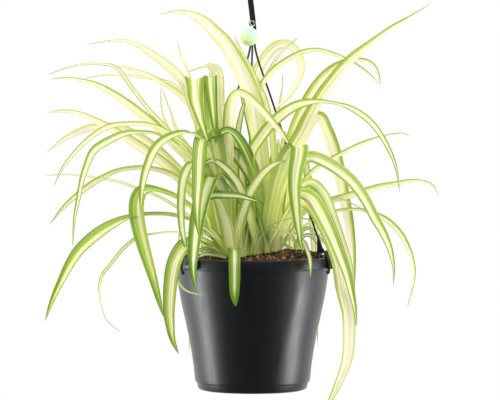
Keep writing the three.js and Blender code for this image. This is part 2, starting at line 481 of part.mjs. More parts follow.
for (const [name, leaves] of Object.entries(LEAVES)) {
  piece(name, fuse([...crown(name), ...leaves.map(leaf)]), 0x7fa83c, 0.5);
}

// ---------------------------------------------------------------- pot

const outside = [[48, -133], [54.6, -130.4], [56, -124.6], [57.3, -124], [59, -109.4], [61.4, -93.4],
  [64.3, -77.4], [67.8, -61.4], [71.3, -45.4], [74.2, -29.4], [76.5, -11.8]];
const collar = [[RIM_R - 0.7, -COLLAR_H - 0.3], [RIM_R, -COLLAR_H + 0.7], [RIM_R, -1], [RIM_R - 0.8, 0],
  [RIM_R - 3.5, 0], [RIM_R - 4.3, -1]];
const inside = [[74.7, -11.8], [72.4, -29.4], [66, -61.4], [59.6, -93.4], [55.3, -122], [53, -POT_H + 2.2]];
let pot = lathe([[0, -POT_H], ...outside, ...collar, ...inside, [0, -POT_H + 2.2]]);

// raised ear on the collar beside each leg of the hanger
const EAR = [[77, -10.8], [85, -10.8], [87, -9], [87, -5], [80.5, 6], [79, 7.5], [77, 7.5]];
const EAR_WIDTH = 12;
const EAR_OFFSET = 8;
for (const azimuth of LEG_AZIMUTHS) {
  pot = pot.add(turned(plate(EAR, EAR_WIDTH), azimuth + EAR_OFFSET));
}
for (let i = 0; i < DRAIN_COUNT; i += 1) {
  const [x, y] = polar(DRAIN_RING, (360 / DRAIN_COUNT) * i, 0);
  const drain = lathe([[0, -POT_H - 1], [DRAIN_R, -POT_H - 1], [DRAIN_R, -POT_H + 4], [0, -POT_H + 4]], 12);
  pot = pot.subtract(drain.translate([x, y, 0]));
}
piece('pot', pot, 0x242628, 0.45);

// ---------------------------------------------------------------- soil

const SOIL_RINGS = [14, 29, 43, 55, 65, 72];
const SOIL_LEVEL = -1.5;
const MOUND = [38, -5, 8, 34, 45];     // x, y, height, spread along x, spread along y
const CRUMB = 0.9;

function soilHeight(x, y, edge) {
  const [mx, my, high, wx, wy] = MOUND;
  const rise = high * Math.exp(-(((x - mx) / wx) ** 2) - ((y - my) / wy) ** 2);
  return SOIL_LEVEL + rise * edge;
}

function soilBody() {
  const between = dice(7);
  const rings = SOIL_RINGS.map((r) => [r, null]);
  rings.push([74.6, null], [74.4, -11.8], ...inside.slice(1).map(([r, z]) => [r - GAP, z]));
  rings[rings.length - 1][1] += GAP;
  const vertices = [[0, 0, soilHeight(0, 0, 1)]];
  for (const [r, z] of rings) {
    for (let i = 0; i < POT_SIDES; i += 1) {
      const [x, y] = polar(r, -90 + (360 / POT_SIDES) * i, 0);
      const edge = Math.min(1, (77 - r) / 14);
      vertices.push([x, y, z ?? soilHeight(x, y, edge) + between(-CRUMB, CRUMB)]);
    }
  }
  vertices.push([0, 0, -POT_H + 2.2 + GAP]);
  const index = [];
  const last = vertices.length - 1;
  for (let i = 0; i < POT_SIDES; i += 1) {
    const j = (i + 1) % POT_SIDES;
    index.push(0, 1 + i, 1 + j);
    for (let k = 0; k < rings.length - 1; k += 1) {
      const [p, q] = [1 + k * POT_SIDES, 1 + (k + 1) * POT_SIDES];
      index.push(p + i, q + i, q + j, p + i, q + j, p + j);
    }
    const base = 1 + (rings.length - 1) * POT_SIDES;
    index.push(base + i, last, base + j);
  }
  const g = new THREE.BufferGeometry();
  g.setAttribute('position', new THREE.BufferAttribute(new Float32Array(vertices.flat()), 3));
  g.setIndex(index);
  return solidOf(g);
}

let soil = soilBody();
for (const name of Object.keys(CROWNS)) {
  for (const hole of crownHole(name)) {
    soil = soil.subtract(hole);
  }
}
const PRONG_SLOT = [[70.9, -12], [78, -12], [78, 20], [70.9, 20]];
for (const azimuth of LEG_AZIMUTHS) {
  soil = soil.subtract(turned(plate(PRONG_SLOT, 3), azimuth));
}
piece('soil', soil, 0x3a2416, 0.95);

// ---------------------------------------------------------------- hanger

const STRAP_W = 5.7;
const STRAP_T = 2.2;
const STRAP_END = [1, 0, 229.4];
const STRAND = 1.5;
const PEG_R = 0.9;
const RING = [-0.7, -3.5, 232.4];
const RING_R = 2.7;
const WIRE_R = 0.7;

function hookLine() {
  const [cx, cz] = [HANG[0], HANG[2] - HOOK_R + HOOK_THICK / 2];
  const line = [[cx - 0.6, 0, cz - 19], [cx + 1.5, 0, cz - 13.5]];
  for (let a = -50; a <= 205; a += 28) {
    const t = (a * Math.PI) / 180;
    line.push([cx + HOOK_R * Math.cos(t), 0, cz + HOOK_R * Math.sin(t)]);
  }
  return line;
}

const bend = hookLine();
const strap = bar([STRAP_END, [0.3, 0, 236.6], [-2.1, 0, 256.6], bend[0]], STRAP_T, STRAP_W, 6, 4);
const strapTop = bar([[-2.1, 0, 256.6], bend[0], bend[1], bend[2]], HOOK_THICK * 0.8, HOOK_THICK, 5);
const hook = bar(bend.slice(1), HOOK_THICK, HOOK_THICK, 22);
const peg = solidOf(new THREE.CylinderGeometry(PEG_R, PEG_R, 4.4, 10)
  .translate(RING[0], -2.7, RING[2] + RING_R - WIRE_R - PEG_R - GAP));
piece('hanger_hook', fuse([strap, strapTop, hook, peg]), 0x1d1f1e, 0.5);

// each leg: a thin strand, a gusset, one prong in the soil and one over the collar with a catch under it
const GUSSET = [[71, 4.5], [74.2, 22], [75.8, 22], [79, 6.5], [77.4, 5.2], [75.4, 7.5], [72.8, 4.5]];
const OUTER_PRONG = [[77.2, 0, 9], [79.6, 0, 5.2], [82, 0, -1.5], [FOOT_R, 0, -8], [81.7, 0, -12.8]];
const INNER_PRONG = [[71.9, 0, 7], [72.1, 0, 0], [72.2, 0, -10.5]];
const CATCH_R = 2;
LEG_AZIMUTHS.forEach((azimuth, i) => {
  const top = [STRAP_END[0] + [1.9, 0, -1.9][i], 0, STRAP_END[2] - GAP];
  const strand = bar([top, polar(3.6, azimuth, 205), polar(20, azimuth, 160.2), polar(48, azimuth, 84),
    polar(74.6, azimuth, 13)], STRAND, STRAND, 10, 6);
  const foot = [plate(GUSSET, 2), bar(OUTER_PRONG, 2.2, 2.6, 6, 6), bar(INNER_PRONG, 2, 2, 2, 6),
    ellipsoid([80.8, 0, -COLLAR_H - 0.3 - GAP - CATCH_R], [CATCH_R, CATCH_R, CATCH_R], 8, 6)];
  const leg = fuse([strand, ...foot.map((f) => turned(f, azimuth))]);
  piece(`hanger_leg_${['right', 'back', 'left'][i]}`, leg, 0x1d1f1e, 0.5);
});

// ---------------------------------------------------------------- charm on the hanger

const BALL = [-3, -10.9, 219.3];
const BALL_R = 9.2;
const EYE = [RING[0], RING[1], RING[2] - RING_R];

function torus([x, y, z], major, minor, alongX, around = 20, across = 8) {
  const g = new THREE.TorusGeometry(major, minor, across, around);
  g.rotateX(Math.PI / 2);
  if (alongX) {
    g.rotateZ(Math.PI / 2);
  }
  return solidOf(g.translate(x, y, z));
}

piece('charm_ring', torus(RING, RING_R, WIRE_R, false), 0x9a9a9a, 0.25);

const eye = torus(EYE, WIRE_R + GAP + 0.5, 0.55, true, 16, 8);
const toEye = new THREE.Vector3(...EYE).sub(new THREE.Vector3(...BALL));
const neckLength = toEye.length() - WIRE_R - GAP - 0.75;
const neck = new THREE.CylinderGeometry(1, 4.7, neckLength, 16).translate(0, neckLength / 2, 0)
  .applyQuaternion(new THREE.Quaternion().setFromUnitVectors(new THREE.Vector3(0, 1, 0), toEye.normalize()))
  .translate(...BALL);
const ball = ellipsoid(BALL, [BALL_R, BALL_R, BALL_R], 20, 12);
piece('charm_ball', fuse([ball, solidOf(neck), eye]), 0xd8f3a6, 0.3);

export default group;
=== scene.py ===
# A potted spider plant: striped leaves in a black hanging pot, on a moulded hanger with a small charm.
# Metres, +Z up. The origin is the inside of the hook's bend, where a rail or a ceiling hook carries the pot.
import math
import random

import bpy
import numpy as np
from mathutils import Matrix, Vector, noise


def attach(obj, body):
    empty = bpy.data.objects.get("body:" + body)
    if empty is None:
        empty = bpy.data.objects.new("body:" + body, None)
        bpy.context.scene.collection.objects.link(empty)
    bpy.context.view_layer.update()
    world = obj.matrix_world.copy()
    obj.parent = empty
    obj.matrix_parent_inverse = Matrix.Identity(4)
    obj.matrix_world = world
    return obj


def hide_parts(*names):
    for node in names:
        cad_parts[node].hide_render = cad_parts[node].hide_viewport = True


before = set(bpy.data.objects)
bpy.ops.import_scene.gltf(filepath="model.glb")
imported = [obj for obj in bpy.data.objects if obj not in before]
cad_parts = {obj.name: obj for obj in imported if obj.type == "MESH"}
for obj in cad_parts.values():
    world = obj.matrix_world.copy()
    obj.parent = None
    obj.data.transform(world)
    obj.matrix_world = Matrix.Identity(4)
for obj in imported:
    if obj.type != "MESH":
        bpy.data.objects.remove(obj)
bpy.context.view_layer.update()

# ---------------------------------------------------------------- camera
# The photograph looks from 3 m in front and 15 cm above the pot's rim, through a long lens, slightly down.

CAMERA_PLACE = (0.0005, -3.0, -0.1395)
CAMERA_DIP = 1.8225      # degrees below level
SENSOR = 36              # width in millimetres
LENS = 216.2             # focal length in millimetres

bpy.ops.object.camera_add(location=CAMERA_PLACE, rotation=(math.radians(90 - CAMERA_DIP), 0, 0))
camera = bpy.context.object
camera.data.lens = LENS
camera.data.sensor_width = SENSOR
camera.data.clip_end = 100
bpy.context.scene.camera = camera
bpy.context.scene.view_settings.view_transform = "Standard"

# ---------------------------------------------------------------- room
# A pale floor well below the hanging pot, a white room that is brightest behind the plant, and soft boxes.
# The camera, dull surfaces and glossy ones each see the floor and the room at a brightness of their own.

WHITE = (1, 1, 1, 1)
FLOOR_LEVEL = -1.3
FLOOR_LIGHT = 0.78               # of the floor, on what stands above it
ROOM_LIGHT = (0.36, 1.08)        # of the room: how much more behind the plant, and all round
LAMP_TARGET = Vector((0, 0, -0.3))


def node(tree, kind, inputs=None, **settings):
    """Adds a shader node; an input is a number, a colour or another node's socket."""
    made = tree.nodes.new("ShaderNode" + kind)
    for name, value in settings.items():
        setattr(made, name, value)
    for name, value in (inputs or {}).items():
        if isinstance(value, bpy.types.NodeSocket):
            tree.links.new(value, made.inputs[name])
        else:
            made.inputs[name].default_value = value
    return made


def arithmetic(tree, operation, *values):
    """One step of arithmetic on numbers and sockets."""
    return node(tree, "Math", dict(enumerate(values)), operation=operation).outputs[0]


def ranged(tree, value, low, high, to_low=0.0, to_high=1.0):
    """A value carried from one range to another, and held at its ends."""
    return node(tree, "MapRange", {"Value": value, "From Min": low, "From Max": high, "To Min": to_low,
                                   "To Max": to_high}).outputs["Result"]


def on_object(tree):
    """The place on the object, in metres."""
    return node(tree, "TexCoord").outputs["Object"]


def axes(tree, where):
    """The three numbers of a place."""
    return node(tree, "SeparateXYZ", {"Vector": where}).outputs


def material(name, constants):
    """A new material with its node tree, its shader, and the shader's constants set."""
    made = bpy.data.materials.new(name)
    made.use_nodes = True
    surface = made.node_tree.nodes["Principled BSDF"]
    for key, value in constants.items():
        surface.inputs[key].default_value = value
    return made, made.node_tree, surface


bpy.ops.mesh.primitive_plane_add(size=60, location=(0, 0, FLOOR_LEVEL))
floor = bpy.context.object
floor.name = "floor"
paint, tree, surface = material("pale_floor", {"Base Color": (0.05, 0.05, 0.05, 1), "Roughness": 0.9})
ray = node(tree, "LightPath").outputs
glow = arithmetic(tree, "MULTIPLY_ADD", ray["Is Diffuse Ray"], FLOOR_LIGHT, ray["Is Camera Ray"])
glow = node(tree, "Emission", {"Color": WHITE, "Strength": glow})
far = ranged(tree, axes(tree, on_object(tree))["Y"], 0.0, 1.8, 0.0, 1.2)
far = node(tree, "Emission", {"Color": WHITE, "Strength": far})
far = node(tree, "AddShader", {0: far.outputs[0], 1: surface.outputs[0]})
both = node(tree, "MixShader", {0: ray["Is Glossy Ray"], 1: glow.outputs[0], 2: far.outputs[0]})
tree.links.new(both.outputs[0], tree.nodes["Material Output"].inputs["Surface"])
floor.data.materials.append(paint)

room = bpy.data.worlds.new("room")
room.use_nodes = True
tree = room.node_tree
tree.nodes.clear()
way = axes(tree, node(tree, "TexCoord").outputs["Generated"])
behind = ranged(tree, way["Y"], -0.3, 0.7, 0.0, 1.6)
above = ranged(tree, way["Z"], 0.3, 0.9, 0.0, 1.1)
mirrored = arithmetic(tree, "ADD", arithmetic(tree, "MAXIMUM", behind, above), 0.03)
soft = arithmetic(tree, "MULTIPLY_ADD", behind, *ROOM_LIGHT)
seen, mirrored, soft = [node(tree, "Background", {"Color": WHITE, "Strength": strength}).outputs[0]
                        for strength in (1.0, mirrored, soft)]
ray = node(tree, "LightPath").outputs
both = node(tree, "MixShader", {0: ray["Is Glossy Ray"], 1: soft, 2: mirrored}).outputs[0]
both = node(tree, "MixShader", {0: ray["Is Camera Ray"], 1: both, 2: seen}).outputs[0]
node(tree, "OutputWorld", {"Surface": both})
bpy.context.scene.world = room

# soft boxes: name, place, size across and up, power, and whether they show as a reflection
for name, spot, wide, high, power, shines in [
    ("key", (-1.1, -1.5, 1.55), 0.6, 0.6, 19, True),
    ("fill", (1.0, -1.5, 1.6), 1.0, 1.0, 11, True),
    ("front_left", (-1.7, -2.1, 0.15), 1.6, 1.6, 16, False),
    ("front_right", (1.7, -2.1, 0.05), 1.6, 1.6, 14, False),
    ("left_strip", (-1.5, 0.02, -0.72), 0.5, 1.1, 19, True),
    ("right_strip", (1.48, -0.2, -0.72), 0.44, 1.1, 22, True),
]:
    bpy.ops.object.light_add(type="AREA", location=spot)
    lamp = bpy.context.object
    lamp.name = name
    lamp.data.shape = "RECTANGLE"
    lamp.data.size = wide
    lamp.data.size_y = high
    lamp.data.energy = power
    lamp.rotation_euler = (LAMP_TARGET - Vector(spot)).to_track_quat("-Z", "Y").to_euler()
    lamp.data.color = (0.96, 0.98, 1.0)
    lamp.visible_camera = False
    lamp.visible_glossy = shines

# ---------------------------------------------------------------- pot
# A tapered pot of black moulded plastic, with a collar, a low foot, drain holes, and a raised ear on the
# collar beside each leg of the hanger. Its wall is about 2 mm thick, and the hanger's feet straddle its rim.

MM = 0.001
POT_PLACE = Vector((0.003, 0, -0.2915))     # the rim's centre
# radius and height from the rim's plane in millimetres, up the outside and down the inside
POT_RINGS = [(12, -132.2), (43, -132.2), (44.5, -133), (51, -133), (53.2, -132.2), (54.6, -130.6),
             (55.7, -125.6), (56.1, -124.9), (57.1, -124.6), (57.6, -123.6), (59, -109.4), (61.4, -93.4),
             (64.3, -77.4), (67.8, -61.4), (71.3, -45.4), (74.2, -29.4), (76.4, -12.4), (76.6, -11.6),
             (78.7, -11.4), (79.3, -10.8), (79.5, -9.8), (79.5, -1.4), (79.1, -0.4), (78.4, 0), (76.4, 0),
             (75.6, -0.4), (75.3, -1.4), (74.8, -11.6), (72.4, -29.4), (66, -61.4), (59.6, -93.4),
             (55.3, -122), (53, -130.6), (12, -130.6)]
POT_SIDES = 144
DRAIN_COUNT = 6
DRAIN_RING = 34
DRAIN_R = 4
LEG_AZIMUTHS = (-26, 94, 214)               # degrees, seen from above
EAR_TURN = 8                                # each ear's azimuth past its leg's
# the planes that cut a block to the ear's slanted outline: a point on each, and the way it faces
EAR_PLANES = [((87, 0, -5), (11, 0, 6.5)), ((80.5, 0, 6), (1.5, 0, 1.5)), ((85, 0, -10.8), (1.8, 0, -2))]


def mm(*lengths):
    """Millimetres as metres."""
    return tuple(length * MM for length in lengths)


def only(piece):
    """Selects this piece alone."""
    bpy.ops.object.select_all(action="DESELECT")
    piece.select_set(True)
    bpy.context.view_layer.objects.active = piece


def applied():
    """The piece that was just added, with its place, turn and size applied to its mesh."""
    bpy.ops.object.transform_apply(location=True, rotation=True, scale=True)
    return bpy.context.object


def modified(piece, kind, **settings):
    """Applies one modifier to a piece."""
    only(piece)
    modifier = piece.modifiers.new(kind.lower(), kind)
    for name, value in settings.items():
        setattr(modifier, name, value)
    bpy.ops.object.modifier_apply(modifier=modifier.name)


def copy_of(piece, change=Matrix()):
    """A copy of a piece, with a mesh of its own that a matrix may turn and move."""
    copy = piece.copy()
    copy.data = piece.data.copy()
    copy.data.transform(change)
    bpy.context.collection.objects.link(copy)
    return copy


def joined(name, pieces):
    """Makes one piece of several."""
    only(pieces[0])
    for piece in pieces:
        piece.select_set(True)
    bpy.ops.object.join()
    pieces[0].name = name
    return pieces[0]


def finished(piece, at, look, node_name, angle=35):
    """Puts a piece in its place, smooths it, gives it its look, ties it to the root body, and hides the
    model's part that it stands for.
    """
    only(piece)
    piece.location = Vector(piece.location) + at
    applied()
    bpy.ops.object.shade_smooth_by_angle(angle=math.radians(angle))
    if look is not None:
        piece.data.materials.clear()
        piece.data.materials.append(look)
    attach(piece, "root")
    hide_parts(node_name)


def turned(name, rings, sides):
    """A round piece about the pot's axis, from (radius, height) rings in millimetres, closed at both ends."""
    r, z = rings[0]
    bpy.ops.mesh.primitive_circle_add(vertices=sides, radius=r * MM, fill_type="NGON", location=mm(0, 0, z))
    piece = applied()
    piece.name = name
    bpy.ops.object.mode_set(mode="EDIT")
    for (r0, z0), (r1, z1) in zip(rings, rings[1:]):
        bpy.ops.mesh.extrude_region_move(TRANSFORM_OT_translate={"value": (0, 0, (z1 - z0) * MM)})
        bpy.ops.transform.resize(value=(r1 / r0, r1 / r0, 1), center_override=(0, 0, z1 * MM))
    bpy.ops.mesh.select_all(action="SELECT")
    bpy.ops.mesh.normals_make_consistent(inside=False)
    bpy.ops.object.mode_set(mode="OBJECT")
    return piece


def cut_block(centre, size, planes, **options):
    """A block in millimetres, cut along planes, each given by a point and the way that it faces."""
    bpy.ops.mesh.primitive_cube_add(size=1, location=mm(*centre), scale=mm(*size))
    block = applied()
    bpy.ops.object.mode_set(mode="EDIT")
    for point, facing in planes:
        bpy.ops.mesh.select_all(action="SELECT")
        bpy.ops.mesh.bisect(plane_co=mm(*point), plane_no=Vector(facing).normalized(), **options)
    bpy.ops.mesh.select_all(action="SELECT")
    bpy.ops.mesh.normals_make_consistent(inside=False)
    bpy.ops.object.mode_set(mode="OBJECT")
    return block


def about_axis(degrees):
    """A turn about the pot's upright axis."""
    return Matrix.Rotation(math.radians(degrees), 4, "Z")


def streaky(tree, where, scale, detail, **more):
    """Soft noise over a place; more gives its other inputs by name."""
    return node(tree, "TexNoise", {"Vector": where, "Scale": scale, "Detail": detail, **more}).outputs["Fac"]


def mixed(tree, factor, first, second):
    """A blend of two colours."""
    return node(tree, "Mix", {"Factor": factor, "A": first, "B": second}, data_type="RGBA").outputs["Result"]


def colour(code):
    """A screen colour, such as 'f3efe0', as the linear colour that a shader takes."""
    shades = [int(code[i:i + 2], 16) / 255 for i in (0, 2, 4)]
    return [s / 12.92 if s <= 0.04045 else ((s + 0.055) / 1.055) ** 2.4 for s in shades] + [1.0]


def dressed(tree, surface, shade, height, strength, distance):
    """Gives a shader its colour and its fine relief, distance deep in metres."""
    bump = node(tree, "Bump", {"Height": height, "Strength": strength, "Distance": distance})
    tree.links.new(shade, surface.inputs["Base Color"])
    tree.links.new(bump.outputs[0], surface.inputs["Normal"])


pot = turned("pot", POT_RINGS, POT_SIDES)
drains = []
for i in range(DRAIN_COUNT):
    a = math.radians(360 / DRAIN_COUNT * i)
    x, y = DRAIN_RING * MM * math.cos(a), DRAIN_RING * MM * math.sin(a)
    bpy.ops.mesh.primitive_cylinder_add(vertices=24, radius=DRAIN_R * MM, depth=6 * MM,
                                        location=(x, y, -131.5 * MM))
    drains.append(bpy.context.object)
drill = joined("drill", drains)
modified(pot, "BOOLEAN", operation="DIFFERENCE", object=drill)
bpy.data.objects.remove(drill)

ear = cut_block((82, 0, -1.65), (10, 12, 18.3), EAR_PLANES, use_fill=True, clear_outer=True)
modified(ear, "BEVEL", width=0.9 * MM, segments=3)
ears = [copy_of(ear, about_axis(azimuth + EAR_TURN)) for azimuth in LEG_AZIMUTHS]
bpy.data.objects.remove(ear)
pot = joined("pot_moulding", [pot, *ears])

plastic, tree, surface = material("black_pot_plastic", {"IOR": 1.52})
place = on_object(tree)
drawn = node(tree, "Mapping", {"Vector": place, "Scale": (260.0, 260.0, 14.0)}).outputs[0]
shade = mixed(tree, streaky(tree, place, 28.0, 4.0), colour("05060a"), colour("0b0d13"))
dull = ranged(tree, streaky(tree, drawn, 1.0, 3.0), 0.3, 0.7, 0.34, 0.42)
tree.links.new(dull, surface.inputs["Roughness"])
dressed(tree, surface, shade, streaky(tree, place, 1500.0, 3.0), 0.12, 0.0002)
finished(pot, POT_PLACE, plastic, "pot")

# ---------------------------------------------------------------- soil
# Moist brown peat that fills the pot, level with the rim at the left and heaped to the right, with loose
# crumbs and pale fibres on top. The shoots stand in it and the hanger's inner prongs reach into it.

SOIL_RINGS = [(40, -130.2), (52.6, -130.2), (55, -122), (59.3, -93.4), (65.7, -61.4), (72.1, -29.4),
              (74.4, -11.8), (74.7, -4)] + [(74.6 - 1.6 * k, -2) for k in range(46)] + [(0.6, -2)]
SOIL_SIDES = 180
SOIL_LEVEL = -1.5
SOIL_R = 74.65                  # where the top meets the pot's wall
MOUND = (38, -5, 8, 34, 45)     # x, y, height, spread along x and y
MOUND_END, MOUND_FADE = 77, 14  # the radius where the heap has sunk away, and over how much
# the shoots' crowns, where no crumbs lie: x, y, half widths along x and y
SHOOTS = [(-22, -27, 15, 13), (13, 0, 16, 14), (-5, -14, 14, 12), (44, 7, 6.5, 6.5), (-20, 38, 11, 10),
          (25, 39, 11, 10)]
CRUMB_TRIES = 2600              # places tried, crowns included
CRUMB_R = 74.2
CRUMB_SIZES, FIBRE_SIZES = (0.6, 2.0), (1.4, 3.4)
CRUMB_TOP = 6.2                 # no crumb's middle lies higher
PEAT_COLOURS = [(0.3, "080503"), (0.5, "1c110a"), (0.62, "38220f"), (0.74, "7d5428"), (1.0, "b98850")]
CRUMB_COLOURS = [(0.34, "0e0805"), (0.47, "2e1c0f"), (0.56, "74502a"), (0.66, "bf9250"), (1.0, "dcb878")]


def soil_height(x, y):
    """The height of the peat at a place on the pot's rim plane, in millimetres."""
    mx, my, high, wx, wy = MOUND
    edge = min(1.0, (MOUND_END - math.hypot(x, y)) / MOUND_FADE)
    return SOIL_LEVEL + high * math.exp(-((x - mx) / wx) ** 2 - ((y - my) / wy) ** 2) * edge


def ramp(tree, value, stops):
    """A colour that runs through (position, colour) stops."""
    made = node(tree, "ValToRGB", {"Fac": value})
    elements = made.color_ramp.elements
    for (at, code), stop in zip(stops, [*elements] + [None] * len(stops)):
        stop = stop or elements.new(at)
        stop.position = at
        stop.color = colour(code)
    return made.outputs["Color"]


soil = turned("peat", SOIL_RINGS, SOIL_SIDES)
for vertex in soil.data.vertices:
    x, y, z = vertex.co / MM
    if z > -3 and math.hypot(x, y) < SOIL_R:
        rough = noise.noise(Vector((x, y, 3)) * 0.16) * 1.3 + noise.noise(Vector((x, y, 9)) * 0.6) * 0.9
        vertex.co.z = (soil_height(x, y) + rough) * MM

peat, tree, surface = material("moist_peat", {"Roughness": 0.9})
place = on_object(tree)
clods = streaky(tree, place, 420.0, 6.0, Roughness=0.7)
specks = node(tree, "TexVoronoi", {"Vector": place, "Scale": 520.0, "Randomness": 1.0}).outputs["Distance"]
brown = ramp(tree, clods, PEAT_COLOURS)
dressed(tree, surface, brown, arithmetic(tree, "ADD", clods, specks), 0.9, 0.0012)
finished(soil, POT_PLACE, peat, "soil", 60)

# one crumb and one fibre, copied over the surface, each with its own size and turn
draw = random.Random(5)
bpy.ops.mesh.primitive_ico_sphere_add(subdivisions=1, radius=1.0)
crumb = bpy.context.object
bpy.ops.object.mode_set(mode="EDIT")
bpy.ops.mesh.select_all(action="SELECT")
bpy.ops.transform.vertex_random(offset=0.28, seed=3)
bpy.ops.object.mode_set(mode="OBJECT")
bpy.ops.mesh.primitive_cylinder_add(vertices=5, radius=0.14, depth=2.0)
fibre = bpy.context.object
bits = []
for i in range(CRUMB_TRIES):
    r, a = CRUMB_R * math.sqrt(draw.random()), draw.uniform(0, 2 * math.pi)
    x, y = r * math.cos(a), r * math.sin(a)
    if any(math.hypot((x - cx) / rx, (y - cy) / ry) < 0.9 for cx, cy, rx, ry in SHOOTS):
        continue
    source = fibre if i % 5 == 0 else crumb
    size = draw.uniform(*(CRUMB_SIZES if source is crumb else FIBRE_SIZES))
    around = Matrix.Rotation(draw.uniform(0, 2 * math.pi), 4, "Z")
    over = draw.uniform(1.0, 2.1) if source is fibre else draw.uniform(0, 3)
    stretch = Matrix.Diagonal((size, size * draw.uniform(0.5, 1.0), size * draw.uniform(0.45, 0.9), 1))
    height = min(soil_height(x, y) + draw.uniform(0, 1.6), CRUMB_TOP)
    lie = around @ Matrix.Rotation(over, 4, "X")
    bits.append(copy_of(source, Matrix.Scale(MM, 4) @ Matrix.Translation((x, y, height)) @ lie @ stretch))
bpy.data.objects.remove(crumb)
bpy.data.objects.remove(fibre)
crumbs = joined("peat_crumbs", bits)

flecks, tree, surface = material("peat_crumbs", {"Roughness": 0.85})
mottle = streaky(tree, on_object(tree), 230.0, 5.0, Roughness=0.6)
brown = ramp(tree, mottle, CRUMB_COLOURS)
dressed(tree, surface, brown, mottle, 0.5, 0.0006)
finished(crumbs, POT_PLACE, flecks, "soil", 20)

# ---------------------------------------------------------------- hanger
# One moulding of black plastic: a hook, a flat strap, and three thin legs. Each leg ends in a foot that
# straddles the rim, with one prong in the peat and one over the collar. A small round catch under the collar
# keeps it on.

HOOK_X, HOOK_Z = -3, 284.1                          # the middle of the hook's bend
HOOK_BEND_R = 10.1
HOOK_THICK = 5.2
STRAP_SIZE = (5.7, 2.2, 35)
STRAP_MIDDLE = 246.5
RIB_EDGES = (-1.9, -1.3, -0.4, 0.4, 1.3, 1.9)       # across the strap
LEG_TOP = 229.1
STRAND_THICK = INNER_THICK = 2.0
OUTER_THICK = 2.5
ROD_STEPS = 6                                       # a bar's steps from one given point to the next
LEG_COURSE = ((3.6, 205), (20, 160.2), (48, 84), (74.6, 13))      # radius and height
# the planes that cut a block to the gusset's outline
GUSSET_PLANES = [((71.2, 0, 4.5), (-17.5, 0, 0.2)), ((78.4, 0, 6.5), (15.5, 0, 5.6)),
                 ((77.4, 0, 5.2), (1.3, 0, -1.6))]
OUTER_PRONG = [(76.8, 0, 9), (79.8, 0, 5.0), (83.2, 0, -1.5), (84.6, 0, -8), (83.9, 0, -12.8)]
INNER_PRONG = [(71.9, 0, 7), (72.0, 0, 3), (72.1, 0, 0), (72.2, 0, -5), (72.2, 0, -10.5)]


def extended(points):
    """The points, with one more before the first and after the last, straight on."""
    p = np.array([tuple(q) for q in points], float)
    return np.vstack([2 * p[0] - p[1], p, 2 * p[-1] - p[-2]])


def passing(a, b, c, d, t):
    """The smooth line from b to c, on its way from a to d, at the share t."""
    square, cube = 2 * a - 5 * b + 4 * c - d, 3 * b - a - 3 * c + d
    return 0.5 * (2 * b + (c - a) * t + square * t ** 2 + cube * t ** 3)


def rod(points, thickness):
    """A round bar along a smooth line through points, in millimetres from the rim's centre."""
    p = extended(points)
    t = np.arange(ROD_STEPS)[:, None] / ROD_STEPS
    line = [passing(a, b, c, d, t) for a, b, c, d in zip(p, p[1:], p[2:], p[3:])]
    line = [*np.vstack(line), p[-2]]
    bpy.ops.curve.primitive_nurbs_path_add()
    bar = bpy.context.object
    spline = bar.data.splines[0]
    spline.points.add(len(line) - len(spline.points))
    for point, (x, y, z) in zip(spline.points, line):
        point.co = (*mm(x, y, z), 1)
    spline.order_u = 2
    spline.use_endpoint_u = True
    spline.resolution_u = 1
    bar.data.bevel_depth = thickness * MM / 2
    bar.data.bevel_resolution = 4
    bar.data.use_fill_caps = True
    bpy.ops.object.convert(target="MESH")
    return bar


bend = [(HOOK_X - 1.0, 0, 262), (HOOK_X - 0.6, 0, 265.1), (HOOK_X + 1.5, 0, 270.6)]
for degrees in range(-50, 206, 28):
    a = math.radians(degrees)
    bend.append((HOOK_X + HOOK_BEND_R * math.cos(a), 0, HOOK_Z + HOOK_BEND_R * math.sin(a)))
hook = rod(bend, HOOK_THICK)

# the strap: a flat bar that leans to the left as it goes up, with three shallow ribs along it
cuts = [((0, 0, z), (0, 0, 1)) for z in range(232, 264, 3)] + [((x, 0, 0), (1, 0, 0)) for x in RIB_EDGES]
strap = cut_block((0, 0, STRAP_MIDDLE), STRAP_SIZE, cuts)
for vertex in strap.data.vertices:
    x, y, z = vertex.co / MM
    if 0.3 < abs(x) < 1.5:
        vertex.co.y *= 0.82
    lean = np.interp(z, (229, 236.6, 256.6, 265.1), (1, 0.3, -2.1, -3.6))
    vertex.co.x += lean * MM
modified(strap, "BEVEL", width=0.35 * MM, segments=2, limit_method="ANGLE", angle_limit=math.radians(50))
peg = rod([(-0.7, y, 229.8) for y in (-0.6, -2, -3, -4, -4.8)], 1.8)

black, tree, surface = material("black_hanger_plastic", {"Roughness": 0.42})
place = on_object(tree)
drawn = node(tree, "Mapping", {"Vector": place, "Scale": (900.0, 900.0, 30.0)}).outputs[0]
shade = mixed(tree, streaky(tree, drawn, 1.0, 2.0), colour("0b0c0b"), colour("1d1f1d"))
dressed(tree, surface, shade, streaky(tree, place, 900.0, 3.0), 0.15, 0.0002)
finished(joined("hanger_hook_and_strap", [hook, strap, peg]), POT_PLACE, black, "hanger_hook", 40)

# one foot, in the plane of its leg: a gusset, the two prongs and the catch
gusset = cut_block((75, 0, 13.25), (8, 2, 17.5), GUSSET_PLANES, use_fill=True, clear_outer=True)
modified(gusset, "BEVEL", width=0.3 * MM, segments=2)
outer = rod(OUTER_PRONG, OUTER_THICK)
inner = rod(INNER_PRONG, INNER_THICK)
bpy.ops.mesh.primitive_uv_sphere_add(segments=20, ring_count=12, radius=2 * MM, location=mm(83.0, 0, -13.6))
foot = joined("foot", [gusset, outer, inner, applied()])

